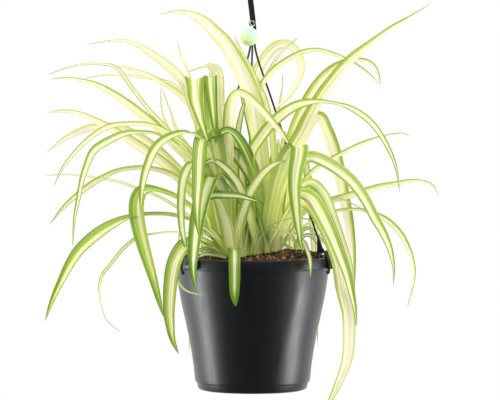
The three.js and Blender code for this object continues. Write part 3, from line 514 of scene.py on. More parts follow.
for azimuth, side, start in zip(LEG_AZIMUTHS, ("right", "back", "left"), (2.9, 1.0, -0.9)):
    turn = about_axis(azimuth)
    course = [Vector((start, 0, LEG_TOP))] + [turn @ Vector((r, 0, z)) for r, z in LEG_COURSE]
    strand = rod(course, STRAND_THICK)
    leg = joined("hanger_leg_and_foot_" + side, [strand, copy_of(foot, turn)])
    finished(leg, POT_PLACE, black, "hanger_leg_" + side, 40)
bpy.data.objects.remove(foot)

# ---------------------------------------------------------------- charm
# A small wire ring on the strap's peg, and a pale green ball of milky resin that hangs from it by its moulded
# eye. The ball's neck and eye are one casting with it, so they run into each other.

RING_PLACE = Vector((-0.7, -3.5, 232.4)) * MM
RING_R = 2.7
BALL_PLACE = Vector((-3, -10.9, 219.3)) * MM
BALL_R = 9.15
BALL_WIDTH = 0.018      # metres, about

bpy.ops.mesh.primitive_torus_add(major_radius=RING_R * MM, minor_radius=0.7 * MM, major_segments=48,
                                 minor_segments=16, location=RING_PLACE, rotation=(math.pi / 2, 0, 0))
ring = applied()
ring.name = "wire_ring"
steel, tree, surface = material("bright_wire", {"Base Color": (0.62, 0.6, 0.58, 1), "Metallic": 1.0})
scuff = streaky(tree, on_object(tree), 2200.0, 4.0)
tree.links.new(ranged(tree, scuff, 0.0, 1.0, 0.12, 0.34), surface.inputs["Roughness"])
finished(ring, POT_PLACE, steel, "charm_ring")

bpy.ops.mesh.primitive_uv_sphere_add(segments=64, ring_count=40, radius=BALL_R * MM)
ball = bpy.context.object
eye_way = RING_PLACE + Vector((0, 0, -RING_R)) * MM - BALL_PLACE
bpy.ops.mesh.primitive_cone_add(vertices=48, radius1=5.2 * MM, radius2=1.1 * MM, depth=6.2 * MM,
                                location=mm(0, 0, 9.5))
neck = applied()
neck.data.transform(eye_way.to_track_quat("Z", "Y").to_matrix().to_4x4())
bpy.ops.mesh.primitive_torus_add(major_radius=1.5 * MM, minor_radius=0.55 * MM, major_segments=32,
                                 minor_segments=12, location=eye_way, rotation=(0, math.pi / 2, 0))
ball = joined("resin_ball", [ball, neck, applied()])
modified(ball, "REMESH", mode="VOXEL", voxel_size=0.28 * MM)
modified(ball, "SMOOTH", iterations=6, factor=0.5)

resin, tree, surface = material("pale_green_resin", {
    "Roughness": 0.5, "Coat Weight": 0.1, "Subsurface Weight": 0.6, "Subsurface Radius": (1.0, 1.0, 0.7),
    "Subsurface Scale": 0.006})
place = on_object(tree)
centred = node(tree, "Mapping", {"Vector": place, "Location": tuple(-(POT_PLACE + BALL_PLACE) / BALL_WIDTH),
                                 "Scale": (1 / BALL_WIDTH,) * 3})
sides = axes(tree, centred.outputs[0])
spread = ranged(tree, arithmetic(tree, "ADD", sides["X"], sides["Z"]), -0.6, 0.7)
swirl = streaky(tree, place, 120.0, 3.0, Distortion=1.5)
tint = ramp(tree, arithmetic(tree, "MULTIPLY_ADD", swirl, 0.35, spread), [(0.1, "c6d680"), (1.0, "b2d6bc")])
tree.links.new(tint, surface.inputs["Base Color"])
finished(ball, POT_PLACE + BALL_PLACE, resin, "charm_ball", 60)

# ---------------------------------------------------------------- leaves
# Long soft blades with green margins and a cream stripe. Each grows from a shoot's crown, arches over and
# hangs by its own weight, free of the others but where it lies on them or on the pot.

# A leaf is [width, heading, cream, green, lean, points]. Heading is in degrees from +X, cream is the pale
# share of its width, green is how deep its margins are, and lean is how far the stripe lies off the middle.
# A low green is partly painted light: it also paints the washed-out paleness of leaves lit strongly from
# behind.
# The points [x, z, depth, turn] run from root to tip, in millimetres and degrees, as seen from 3 m in front.
# A turn is left out where it stays as it was. A last number, where given, says how blunt the tip is.

# leaves of the two front shoots that face left
FRONT_LEFT = [
    [18, 180, 0.76, 0.2, 0.04, [[12.6, 1, 2.4, -75], [12, 40, -2], [10, 80, -7], [6, 117, -12],
     [1.5, 150, -17], [-4.3, 169, -20], [-10.5, 184, -21], [-17.6, 197, -22], [-26.5, 212, -22],
     [-40, 226, -24, -70], [-51.2, 236, -26, -60], [-65, 242, -28, -40], [-78, 244, -29, -20],
     [-92, 242, -30, -15]]],
    [7, 180, 0.5, 0.2, 0, [[16, 1, 6, -60], [22, 60, 4], [19, 120, -2], [13, 153, -8], [7, 168, -12],
     [-2, 187, -15], [-8, 198, -16, -50], [-13, 209, -16, -40], [-18, 220, -16, -30]]],
    [11, 180, 0.75, 0.25, 0, [[-27, 1, -22, -60], [-34, 50, -18], [-43, 95, -14, -65], [-52, 128, -12, -70],
     [-60, 151, -10, -75], [-67, 171, -10], [-82, 188, -10], [-101, 202, -10, -60], [-120, 213, -10, -35],
     [-140, 215, -10, -25], [-165, 212, -10, -20]]],
    [10, 180, 0.7, 0.3, 0.2, [[-26, 1, -25, -65], [-32, 42, -12], [-44, 72, -10, -70], [-60, 94, -12, -75],
     [-77, 111, -12], [-96, 130, -12], [-113, 144, -12], [-132, 158, -12, -70], [-153, 170, -12, -50],
     [-172, 176, -12, -30], [-190, 178, -12, -20], [-202, 177, -12, -15]]],
    [4.5, 180, 0.6, 0.25, 0, [[-28, 1, -22, -70], [-40, 50, -18], [-55, 90, -16], [-83, 125, -15],
     [-102, 145, -14], [-120, 168, -13], [-135, 188, -12, -60], [-152, 192, -12, -40], [-169, 192, -12],
     [-190, 187, -12], [-203, 182, -12, -30]]],
    [11, 180, 0.8, 0.2, 0.2, [[-25, 1, -16, -60], [-37, 22, -8], [-52, 52, -5], [-69, 73, -4, -65],
     [-85, 90, -4, -70], [-109, 107, -4], [-127, 119, -4], [-148, 131, -4, -60], [-172, 142, -4, -50],
     [-190, 145, -4, -45], [-205, 144, -4, -30]]],
    [8, 190, 0.6, 0.35, 0.15, [[-27, 1, -28, -30], [-33, 42, -32], [-45, 77, -36, -35], [-63, 107, -40],
     [-85, 124, -42, -30], [-103, 131, -43], [-125, 132, -44, -40], [-145, 129, -45, -50],
     [-164, 117, -46, -55], [-179, 102, -46], [-190, 88, -46], [-199, 70, -46, -50]]],
    [10, 215, 0.5, 0.4, 0.15, [[-26, 1, -26, 0], [-33, 42, -34], [-47, 77, -40, -10], [-67, 105, -44, -20],
     [-92, 120, -48], [-109, 123, -50], [-128, 122, -52, -30], [-148, 113, -54, -45], [-159, 105, -56],
     [-165, 92, -58, -35], [-170, 77, -59, -30], [-174, 57, -60], [-178, 37, -60], [-180, 10, -60]]],
    [14.5, 230, 0.42, 0.5, 0.15, [[-27, 1, -28, 0], [-33, 45, -34], [-39, 80, -40], [-47, 108, -48, -5],
     [-58, 121, -56, -10], [-70, 123, -62], [-86, 117, -68], [-97, 107, -73], [-104, 92, -77],
     [-109, 75, -80], [-111, 59, -82, -5], [-112, 43, -84, 0]]],
    [18, 245, 0.27, 0.55, 0, [[-27, 1, -28, 0], [-30, 40, -30], [-33, 80, -33], [-37, 110, -38],
     [-43, 126, -46], [-50, 116, -57], [-52.5, 98, -67], [-53.5, 77, -77], [-55, 57, -86], [-55, 37, -92],
     [-53, 18, -95]]],
    [20, 245, 0.35, 0.9, 0, [[-26, 1, -30, 0], [-29, 35, -34], [-33, 65, -40], [-40, 79, -50], [-46, 67, -62],
     [-52, 47, -74], [-56, 26, -82], [-58, 7, -87], [-59, -14, -90], [-56, -36, -91]]],
    [12, 240, 0.4, 0.65, 0, [[-28, 1, -25, 0], [-34, 40, -30], [-42, 75, -38], [-52, 91, -48], [-61, 92, -58],
     [-67, 82, -66], [-70, 67, -70], [-71, 47, -74], [-70, 27, -76], [-67, 12, -77], [-64, 0, -77]]],
    [21, 270, 0.42, 0.5, 0, [[-27, 1, -18, 0], [-38, 70, -8], [-50, 140, -2], [-55, 166, -5], [-57, 175, -12],
     [-57.5, 177, -20], [-57.3, 174, -28], [-57, 168, -33], [-56.5, 157.6, -40], [-54.5, 146.6, -46],
     [-50.5, 131.6, -55], [-40.5, 103.6, -67]]],
    [17, 180, 0.85, 0.3, 0, [[-22, 1, -15, 90], [-28, 60, -12], [-33, 110, -10], [-36, 150, -10],
     [-36.5, 173, -11, 85], [-37.5, 184, -13, 60], [-43, 189, -16, 20], [-51, 188, -18, 0],
     [-58, 186, -20, -10], [-64, 184.5, -21]]],
    [13.5, 270, 0.2, 0.6, 0, [[-24, 1, -22, 0], [-35, 80, -14], [-41, 140, -12], [-42, 170, -16],
     [-42, 179, -24], [-42, 175, -32], [-41, 162, -37], [-39.5, 146, -39], [-38, 130, -40],
     [-36.5, 112, -41]]],
    [16, 215, 0.25, 0.15, 0.35, [[-28, 1, -35, -20], [-38, 18, -44], [-53, 31, -52], [-75, 39, -58, -15],
     [-102, 41, -64, -5], [-123, 38, -70], [-140, 31, -77, -22], [-156, 21, -84, -38], [-172, 7, -90, -40],
     [-182, -7, -94], [-190, -22, -96], [-200, -43, -97], [-208, -65, -97]]],
    [4, 205, 0.4, 0.5, 0, [[-28, 1, -32, -20], [-43, 12, -48], [-62, 22, -60], [-80, 24, -66],
     [-101, 22, -68], [-113, 20, -69, -30], [-121, 15, -70, -50], [-131, 6, -72, -60], [-142, -8, -74],
     [-150, -18, -76, -50], [-153, -29, -78, -30], [-152, -44, -80, 0], [-149, -57, -80, 20],
     [-144, -66, -80, 30], [-133, -75, -80]]],
    [16, 225, 0.25, 0.35, 0.2, [[-27, 1, -32, -30], [-40, 8, -48], [-55, 13, -62, -25], [-65, 13, -72, -20],
     [-73, 4, -80, -30], [-79.5, -11, -86, -38], [-82.5, -33, -88, -40], [-83.5, -53, -88], [-82.5, -68, -88],
     [-80, -83, -87], [-74, -98, -86]]],
    [10, 190, 0.55, 0.3, 0.2, [[-30, 1, -20, -50], [-47, 42, -20], [-62, 65, -18], [-76, 78, -16, -40],
     [-92, 85, -14, -30], [-112, 88, -14, -25], [-134, 85, -16], [-152, 77, -18, -40], [-164, 70, -20, -60],
     [-177, 60, -22, -65], [-190, 48, -24], [-203, 32, -26, -60]]],
    [18, 205, 0.17, 0.2, 0.3, [[-28, 1, -22, -40], [-42, 24, -17, -35], [-60, 46, -19, -30],
     [-77, 58, -30, -22], [-92, 64, -46, -20], [-104, 66, -60, -22], [-112, 62, -69, -30],
     [-115.5, 51, -73, -45], [-115, 37, -75, -60], [-111.5, 19, -76, -68], [-106, -1, -76, -72],
     [-100, -21, -76], [-94, -43, -75], [-89, -61, -74, -70]]],
    [11.5, 270, 0.18, 0.85, 0, [[-19, 1, -29, 0], [-19, 5, -42], [-19, 7, -58], [-18, 5, -74], [-18, -5, -85],
     [-18, -21, -88], [-18, -36, -88], [-17, -50, -86]], 9],
    [3, 230, 0.5, 0.4, 0, [[-28, 1, -33, 0], [-44, 8, -50], [-60, 11, -64], [-70, 8, -72], [-76, -4, -78],
     [-77, -14, -80, -20], [-74, -25, -80, -40], [-69, -32, -79, -60], [-62, -36, -78, -70], [-52, -38, -77],
     [-45, -36, -76]]],
    [10, 180, 0.45, 0.7, 0, [[6, 1, -6, -70], [-3, 42, -30], [-12, 67, -38, -65], [-21, 81, -42, -60],
     [-30, 90, -44, -55], [-38, 95, -46, -45], [-45, 94, -48, -40], [-52, 82, -50, -60]]],
    [9, 190, 0.4, 0.8, 0, [[5, 1, -8, -60], [-2, 32, -20], [-11, 54, -30], [-21, 70, -40, -55],
     [-31, 79, -48, -40], [-38, 76, -54], [-43, 65, -58, -50], [-46, 52, -60]]],
    [13, 180, 0.5, 0.75, 0, [[12, 1, 0, -75], [8, 52, -8], [2, 74, -11], [-7, 89, -12], [-18, 103, -12],
     [-30, 113, -12, -70], [-39, 117, -12, -60], [-47, 119, -12, -50]]],
    [14, 190, 0.08, 0.85, 0, [[9, 1, -2, -60], [9, 41, -10], [3, 77, -18, -65], [-5, 99, -24],
     [-14, 116, -30, -55], [-24, 125, -36, -35], [-34, 121, -42, -30], [-41.5, 119.6, -43, -40],
     [-46.5, 114.6, -44, -50], [-50.5, 108.6, -45]]],
    [9, 180, 0.4, 0.7, 0, [[11, 1, 4, -70], [8, 57, 4], [4, 97, 2], [-2, 127, 0], [-8, 150, 0, -65],
     [-12, 162, 0, -60]]],
    [9, 215, 0.5, 0.4, 0, [[-27, 3, -36, -20], [-37, 10, -44], [-47, 14, -51], [-57, 15, -58]]],
    [9, 200, 0.5, 0.4, 0, [[-29, 4, -30, -40], [-40, 17, -36], [-50, 25, -42, -35], [-60, 29, -46, -30]]],
    [8, 225, 0.5, 0.4, 0, [[-26, 2, -40, -10], [-38, 5, -50], [-50, 6, -60], [-60, 4, -68]]],
    [12, 180, 0.5, 0.8, 0, [[-6, 1, -6, -70], [-7, 31, -4], [-9, 61, 0], [-12, 91, 2], [-15, 110, 3, -60]]],
]

# leaves of the two front shoots that face right
FRONT_RIGHT = [
    [14, 0, 0.8, 0.35, -0.25, [[-20, 1, -25, 60], [-22, 50, -24], [-24, 95, -24], [-23, 127, -25, 65],
     [-21, 150, -28], [-15, 162, -32, 35], [-5, 158.5, -35, 40], [5, 150, -38, 45], [17, 137, -42, 50],
     [30, 122, -45, 70], [39, 107, -47, 60]]],
    [8, 0, 0.5, 0.7, 0, [[-20, 1, -15, 60], [-17, 77, -12], [-15, 117, -8, 65], [-11, 142, -6, 70],
     [-7, 158, -4]]],
    [11, 330, 0.35, 1, 0, [[-26, 1, -32, 0], [-38, 20, -40], [-46, 42, -48, 20], [-47, 55, -52, 60],
     [-40, 61, -54, 70], [-28, 61, -58, 50], [-13, 60, -62, 45], [-1, 57, -64], [11, 53, -65, 40]]],
    [11, 0, 0.45, 0.4, 0, [[-18, 1, -28, 75], [-15, 22, -36], [-9, 45, -42], [0, 67, -46], [11, 83, -48, 70],
     [22, 92, -48, 60], [34, 96, -46, 45]]],
    [12, 0, 0.5, 0.5, 0, [[11, 1, 0, 50], [7, 42, -8], [2, 72, -14, 40], [-1, 92, -18, 50], [0, 105, -20, 60],
     [8, 118, -22, 70], [18, 131, -22, 75], [31, 143, -22], [46, 151, -22, 60], [65, 154, -22, 25],
     [83, 152, -20, 14], [101, 146, -18, 45], [119, 133, -16, 65], [133, 113, -14, 70], [143, 90, -12, 65],
     [147, 65, -10, 50]]],
    [14, 0, 0.7, 0.35, -0.4, [[17, 1, 6, 70], [22, 45, 4], [31, 82, 0], [40, 108, -2], [49, 124, -4],
     [57, 140, -4], [67, 158, -4], [84, 181, -4, 65], [100, 198, -4, 60], [118, 212, -4, 50],
     [139, 228, -4, 35], [157, 239, -4, 25], [178, 253, -4, 15]]],
    [7, 0, 0.6, 0.35, -0.3, [[15, 1, 8, 60], [14, 55, 4], [9, 105, -2], [5, 150, -8], [6, 165, -10],
     [13, 177, -12], [22, 187, -10], [34, 196, -6], [50, 204, -2, 50], [65, 206, 2, 45], [81, 202, 6, 50],
     [93, 197, 8], [109, 188, 8, 40], [119, 180, 8, 30], [127, 172, 8, 20]]],
    [5, 0, 0.5, 0.4, 0, [[14, 1, 10, 60], [10, 77, 12], [6, 137, 12], [8, 165, 10], [16, 183, 8],
     [25, 199, 6, 50], [35, 210, 4, 40], [45, 218, 2, 30]]],
    [6, 0, 0.6, 0.3, -0.3, [[16, 1, 4, 30], [25, 25, 2], [42, 60, 0, 35], [58, 83, 0, 40], [77, 96, 0, 45],
     [97, 107, 1], [112, 114, 2, 40], [127, 119, 3, 30], [147, 123, 4, 20], [157, 121, 4]]],
    [9, 0, 0.7, 0.2, -0.3, [[17, 1, 1.5, 30], [28, 20, 0], [48, 41, -2, 35], [70, 52, -3, 40],
     [88, 58, -4, 45], [113, 65, -4, 50], [127, 69, -4], [142, 72, -4, 40], [157, 75, -4, 30],
     [170, 75, -5, 20], [180, 71, -6, 30], [186, 61, -8, 40]]],
    [13, 340, 0.45, 0.55, -0.15, [[18, 1, -4, 60], [24, 40, -22], [34, 75, -34], [46, 92, -40, 65],
     [57, 99, -43], [67, 97, -44], [82, 89, -45], [95, 79, -46], [105, 68, -46], [114, 54, -46, 60],
     [122, 38, -46, 55], [130, 24, -46, 50], [136, 10, -46, 40], [139, -1, -46, 30], [141, -13, -46, 20],
     [141, -28, -46]]],
    [22, 280, 0.35, 0.75, 0, [[14, 1, -4, 0], [20, 45, -16], [28, 80, -30], [37, 102, -40], [46, 109, -48],
     [46, 99, -56, 5], [43.5, 85, -62, 15], [42.5, 67, -67, 25], [44, 47, -70, 35], [46, 31, -72, 40],
     [48, 15, -73], [50.5, 2.5, -74]], 1.5],
    [16, 320, 0.4, 0.6, -0.15, [[13, 1, -5, 30], [25, 25, -20], [38, 50, -36, 35], [48, 62, -48, 40],
     [59, 58, -58], [66, 48, -64, 35], [74, 33, -68], [81, 17, -70, 30], [88, -1, -72, 25],
     [94, -18, -73, 20], [98, -35, -74, 15], [102, -53, -74, 10], [104, -70, -74]]],
    [11, 330, 0.5, 0.3, 0.2, [[16, 1, -2, 40], [28, 30, -4], [44, 62, -8, 45], [58, 73, -24, 50],
     [71.8, 60, -42], [80.8, 37, -50], [88.8, 14, -54, 45], [95.8, -8, -56, 40], [99, -28, -58, 30],
     [101, -43, -58, 20], [102, -60, -58]]],
    [16.5, 290, 0.75, 0.3, 0.12, [[15, 1, -5, 0], [30, 26, -20, 10], [46, 48, -33, 30], [58, 52, -45, 50],
     [68, 40, -54, 60], [78, 20, -60], [86.5, -4, -64], [90, -25, -66, 45], [92.5, -41, -68, 15],
     [95.3, -56, -69, 0], [95.9, -76, -69], [95.3, -94, -69], [92.9, -107, -69], [88.5, -120, -69, 5],
     [83, -133, -68, 10], [77, -145, -67], [67, -159, -66]]],
    [7, 340, 0.65, 0.25, -0.35, [[20, 1, 4, 30], [40, 20, 2], [60, 35, -2], [85, 45, -6, 25],
     [110, 46, -9, 20], [127, 40, -11, 35], [137, 34, -12, 50], [147, 24, -13, 55], [153, 14, -14, 50],
     [158, 2, -15, 40], [161, -11, -15, 35], [161, -23, -15, 30], [159, -35, -15, 25], [155, -51, -15, 20]]],
    [3, 0, 0.5, 0.4, 0, [[14, 1, -6, 30], [34, 20, -8], [50, 40, -10], [66, 52, -12], [84, 58, -14],
     [97, 54, -15], [110, 47, -16], [118, 40, -16]]],
    [3, 320, 0.5, 0.8, 0, [[-2, 1, -17, 20], [0, 14, -32], [6, 23, -40, 25], [14, 29, -43], [26, 34, -46],
     [38, 38, -47], [48, 38, -48], [60, 36, -48], [70, 30, -48]]],
    [3.5, 310, 0.5, 0.8, 0, [[2, 1, -17, 20], [6, 14, -32], [12, 24, -41, 25], [21, 27, -45], [31, 26, -48],
     [40, 20, -50], [46, 13, -51]]],
    [11, 0, 0.6, 0.45, 0, [[16, 1, 2, 60], [20, 50, 4], [22, 85, 6, 65], [22, 110, 8], [20, 128, 8, 60]]],
    [10, 0, 0.6, 0.45, 0, [[20, 1, 4, 50], [26, 50, 8], [27, 90, 10], [26, 118, 10]]],
    [8, 0, 0.5, 0.6, 0, [[20, 1, -2, 70], [28, 45, 0], [33, 85, 4], [32, 114, 6, 60]]],
    [11, 0, 0.5, 0.45, 0, [[6, 1, 8, 70], [5, 31, 10], [3, 61, 12], [-1, 95, 12, 60]]],
]

# leaves of the small offset shoot
OFFSET = [
    [5, 200, 0.4, 0.6, 0, [[44, 8, 8, -50], [40, 16, 14], [35, 29, 18], [31, 40, 19, -40]]],
    [6, 340, 0.45, 0.6, 0, [[45, 8, 4, 30], [47, 17, -2, 35], [54, 21, -6, 40], [60, 19, -10, 45],
     [65, 12, -13, 50]]],
    [5, 10, 0.4, 0.5, 0, [[46, 8, 10, 40], [47, 20, 12], [54, 28, 13, 45], [62, 24, 14, 50], [71, 14, 15],
     [79, 8, 16, 40]]],
    [3, 0, 0.5, 0.6, 0, [[46, 8, 8, 30], [48, 15, 6], [57, 22, 4], [73, 21, 2]]],
    [6, 290, 0.4, 0.6, 0, [[44, 8, 4, 0], [44, 12, -14], [47, 16, -34], [51, 14, -52], [54, 7, -68],
     [57, -2, -78], [58, -12, -82], [58, -22, -83]]],
    [4, 180, 0.5, 0.5, 0, [[42, 8, 10, -50], [38, 8, 16], [31, 12, 22], [26, 9, 26, -40]]],
]

# leaves of the back left shoot; their low green is partly painted light, the pale look of leaves lit strongly
# from behind
BACK_LEFT = [
    [7, 180, 0.8, 0.12, 0.12, [[-20, 1, 36, -60], [-30, 50, 30], [-45, 110, 24, -65], [-58, 143, 20, -70],
     [-72, 161, 20], [-93, 175, 20, -60], [-109, 183, 20], [-125, 188, 20, -50], [-140, 191, 20, -40]]],
    [6, 180, 0.75, 0.15, 0.12, [[-20, 1, 40, -50], [-32, 55, 38], [-48, 112, 34, -55], [-62, 148, 32, -60],
     [-75, 168, 32, -50], [-93, 176, 32, -45], [-117, 180, 32, -40], [-148, 181, 32, -30],
     [-166, 178, 32, -20]]],
    [12, 180, 0.85, 0.1, 0.12, [[-21, 3, 35, -60], [-38, 30, 24], [-60, 68, 18, -65], [-87, 98, 16, -70],
     [-107, 114, 16], [-127, 125, 16, -60], [-144, 129, 16], [-162, 128, 16], [-177, 123, 16, -65],
     [-190, 116, 16], [-206, 104, 16, -55]]],
    [4, 160, 0.75, 0.15, 0.12, [[-18, 1, 38, -50], [-35, 60, 36], [-48, 110, 32], [-57, 150, 30],
     [-61, 172, 28], [-66, 187, 26], [-71, 198, 24, -45], [-75, 216, 22, -40]]],
    [4.5, 180, 0.7, 0.15, 0, [[-22, 1, 38, -50], [-45, 55, 34], [-68, 98, 30], [-82, 122, 28],
     [-88, 137, 27, -45], [-91, 150, 26, -40], [-92, 169, 26]]],
    [4, 170, 0.7, 0.2, 0, [[-21, 1, 42, -50], [-40, 60, 42], [-62, 105, 40], [-76, 127, 38],
     [-82, 145, 37, -45], [-90, 168, 36, -40]]],
    [5, 180, 0.7, 0.15, 0, [[-21, 1, 37, -30], [-38, 17, 28], [-54, 32, 20, -35], [-76, 49, 16],
     [-97, 61, 15], [-114, 67, 15], [-132, 74, 15], [-152, 78, 15], [-172, 81, 15, -30], [-190, 82, 15],
     [-206, 81, 15, -25]]],
]

# leaves of the back right shoot; their low green is partly painted light, the pale look of leaves lit
# strongly from behind
BACK_RIGHT = [
    [12, 0, 0.7, 0.2, -0.3, [[22.5, 1, 39.5, 60], [28, 50, 36], [34, 95, 30, 65], [42, 127, 26, 70],
     [50, 145, 24], [58, 161, 22, 75], [67, 174, 20], [77, 184, 18, 70], [88, 191, 17, 60],
     [101, 195, 16, 40], [112, 195, 14, 30], [120, 191, 12, 40], [125, 183, 10, 45], [128, 172, 8]]],
    [12, 0, 0.9, 0.05, -0.15, [[20, 1, 40, 60], [12, 60, 46, 65], [3, 118, 46, 70], [-1, 155, 42],
     [2, 176, 38], [10, 194, 34], [23, 209, 32, 65], [36, 211, 30, 60], [45, 202, 28], [48, 187, 26, 50],
     [44, 174, 24, 40], [36, 161, 22], [25, 150, 20], [18, 144, 19]]],
    [3.5, 0, 0.5, 0.4, 0, [[25, 1, 36, 40], [20, 60, 32], [22, 115, 30], [26, 142, 30], [28, 157, 30],
     [30, 170, 30], [30, 182, 30]]],
    [15, 350, 0.75, 0.35, -0.35, [[27, 1, 38, 60], [32, 45, 34], [39, 90, 30], [49, 115, 27],
     [60, 134, 24, 50], [67, 139, 22, 40], [73, 127, 20, 50], [80, 109, 18, 60], [87, 82, 16, 65],
     [91, 60, 14], [95, 41, 13], [98, 21, 12], [100, 1, 12, 60], [101, -18, 12, 50], [102, -33, 12, 40]]],
]

# short young blades round the front shoots, at the soil
BASES = [
    [14, 270, 0.5, 0.4, 0, [[-21.5, -0.4, -38, 0], [-23.5, 13.6, -43], [-26.5, 30.6, -45], [-33.5, 52.6, -45],
     [-44.5, 76.6, -44]]],
    [11, 200, 0.55, 0.5, 0, [[-25.5, -0.4, -36, -55], [-33.5, 14.6, -40], [-42.5, 26.6, -42, -50],
     [-51.5, 35.6, -43]]],
    [10, 195, 0.55, 0.5, 0, [[-27.5, -1.4, -38, -50], [-38.5, 8.6, -45], [-49.5, 15.6, -50, -45],
     [-58.5, 18.6, -53, -40]]],
    [9, 205, 0.6, 0.7, 0, [[-27.5, -1.4, -42, -30], [-39.5, 4.6, -50, -35], [-48.5, 6.6, -56],
     [-56.5, 3.6, -60, -30]]],
    [9, 205, 0.6, 0.7, 0, [[-25.5, -2.4, -44, -20], [-37.5, 0.6, -54, -25], [-47.5, 1.6, -61],
     [-54.5, -1.4, -66, -20]]],
    [8, 280, 0.1, 0.9, 0, [[-8.5, 0.6, -16, 0], [-6.5, 14.6, -18], [-4.5, 28.6, -16], [-1.5, 44.6, -12]]],
    [7, 300, 0.1, 1, 0, [[-1.5, 1.6, -10, 0], [0.5, 13.6, -12], [4.5, 24.6, -12], [10.5, 36.6, -10]]],
    [11, 265, 0.4, 0.6, 0, [[-11.5, -0.4, -22, 0], [-12.5, 15.6, -23], [-12.5, 34.6, -21],
     [-14.5, 60.6, -18]]],
    [12, 290, 0.5, 0.4, 0, [[7.5, 1.6, -10, 0], [7.5, 16.6, -12], [7.5, 31.6, -12], [9.5, 56.6, -8]]],
    [6, 275, 0.05, 1, 0, [[15.5, 2.6, -18, 0], [12.5, 16.6, -21], [8.5, 30.6, -21], [2.5, 56.6, -16]]],
    [15, 270, 0.6, 0.2, 0, [[20.5, 3.6, -13, 0], [22.5, 18.6, -16], [24.5, 36.6, -15], [29.5, 66.6, -12]]],
    [10, 320, 0.5, 0.4, 0, [[28.5, 5.6, -6, 20], [34.5, 15.6, -9], [40.5, 25.6, -10], [48.5, 35.6, -9]]],
]

VIEW_DISTANCE = 3000
VIEW_HEIGHT = 152
FOLD = 0.16                # how far the margins stand above the midrib, in widths
WAVE = 0.012               # how far they wave up and down, in widths
ROOT_WIDTH = 0.7           # the share of its width that a blade has at its root
WIDENING = 0.35            # the share of its length over which it widens
TAPER = 3                  # how blunt a tip is where its leaf doesn't say
BLADE_CELLS = (9, 56)      # across and along
SHEET = 0.35               # a leaf's thickness in millimetres
TRAITS = ("cream", "green", "lean", "tone", "span")      # what each leaf tells its material
# how a leaf by rule rises, arches and hangs: the share of its reach and of its height at each point
ARCH = [(0, 0.01), (0.06, 0.35), (0.2, 0.78), (0.45, 1), (0.7, 0.86), (0.88, 0.5), (1, 0)]
# colours from the stripe's middle, at 0, to the margin, at 1, for leaves with shallow and with deep margins;
# the shallow set is partly painted light, the washed-out look of leaves lit strongly from behind
PALE_MARGIN_AND_BACKLIT_LEAF = [(0.0, "f0e9da"), (0.28, "efebcc"), (0.36, "e5e8aa"), (0.46, "d9dd78"), (0.62, "cdd76c"),
             (0.84, "bccb5a"), (1.0, "96b444")]
GREEN_LEAF = [(0.0, "f1ebe0"), (0.28, "f0ebdc"), (0.32, "dde678"), (0.37, "b9ce48"), (0.45, "9abc3a"),
              (0.6, "7da62c"), (1.0, "608f20")]
# the root colour is partly the blade's own pale base and partly painted light, a bright yellow for light that
# comes through the leaves into the shaded middle of the plant; the under colour is the lower face's own
PALE_ROOT_AND_GLOW_COLOUR, UNDER_COLOUR = "f6f9b2", "e2e8a4"
# fine lines in a blade: noise cells across it and on each 10 cm of it, the noise at which a line starts and
# is full, its strength there, and its colour
LINES = [(17.0, 0.14, 0.55, 0.62, 0.55, "b2cb54"), (23.0, 0.12, 0.58, 0.65, 0.6, "eeeecc")]
LINES_FADE = (0.55, 0.9)      # the shares of the way to the tip where they start to fade and are gone


def dice(seed):
    """A small repeatable generator for the leaves at the back."""
    state = [seed]

    def between(low, high):
        state[0] = (state[0] * 16807) % 2147483647
        return low + (high - low) * state[0] / 2147483647
    return between


def back_leaves(shoot, heading, step, count, seed):
    """Leaves by rule, which rise from a shoot, arch over and hang, each heading a little further round."""
    between = dice(seed)
    leaves = []
    for i in range(count):
        reach = between(105, 170)
        height = between(70, 125)
        way = heading + i * step + between(-4, 4)
        drop = between(60, 150)
        width = between(9, 15)
        twist = between(-25, 25)
        a = math.radians(way)
        points = []
        for k, (out, up) in enumerate(ARCH):
            fall = ((k - 3) / 3) ** 1.6 * drop if k > 3 else 0
            y = shoot[1] + reach * out * math.sin(a)
            spread = (VIEW_DISTANCE + y) / VIEW_DISTANCE
            points.append([(shoot[0] + reach * out * math.cos(a)) / spread,
                           VIEW_HEIGHT + (height * up - fall - VIEW_HEIGHT) / spread, y, twist * k / 6])
        # shallow green margins, partly painted light: the back leaves are paler, as if washed out by light
        # from behind
        leaves.append([width, way, 0.45 + 0.12 * (i % 3), 0.3 + 0.15 * (i % 2), 0, points])
    return leaves


# the blade, modelled once: a fine sheet with a map, u across and v from root to tip
bpy.ops.mesh.primitive_grid_add(x_subdivisions=BLADE_CELLS[0], y_subdivisions=BLADE_CELLS[1], size=1,
                                calc_uvs=True)
blade = bpy.context.object
blade.data.uv_layers[0].name = "blade"
flat = np.array([v.co for v in blade.data.vertices])
across, length = -2 * flat[:, 0], np.clip(flat[:, 1] + 0.5, 0, 1)
for name in TRAITS:
    blade.data.attributes.new(name, "FLOAT", "POINT")


def unit(vectors):
    """The same vectors, all 1 long."""
    return vectors / np.linalg.norm(vectors, axis=1, keepdims=True)


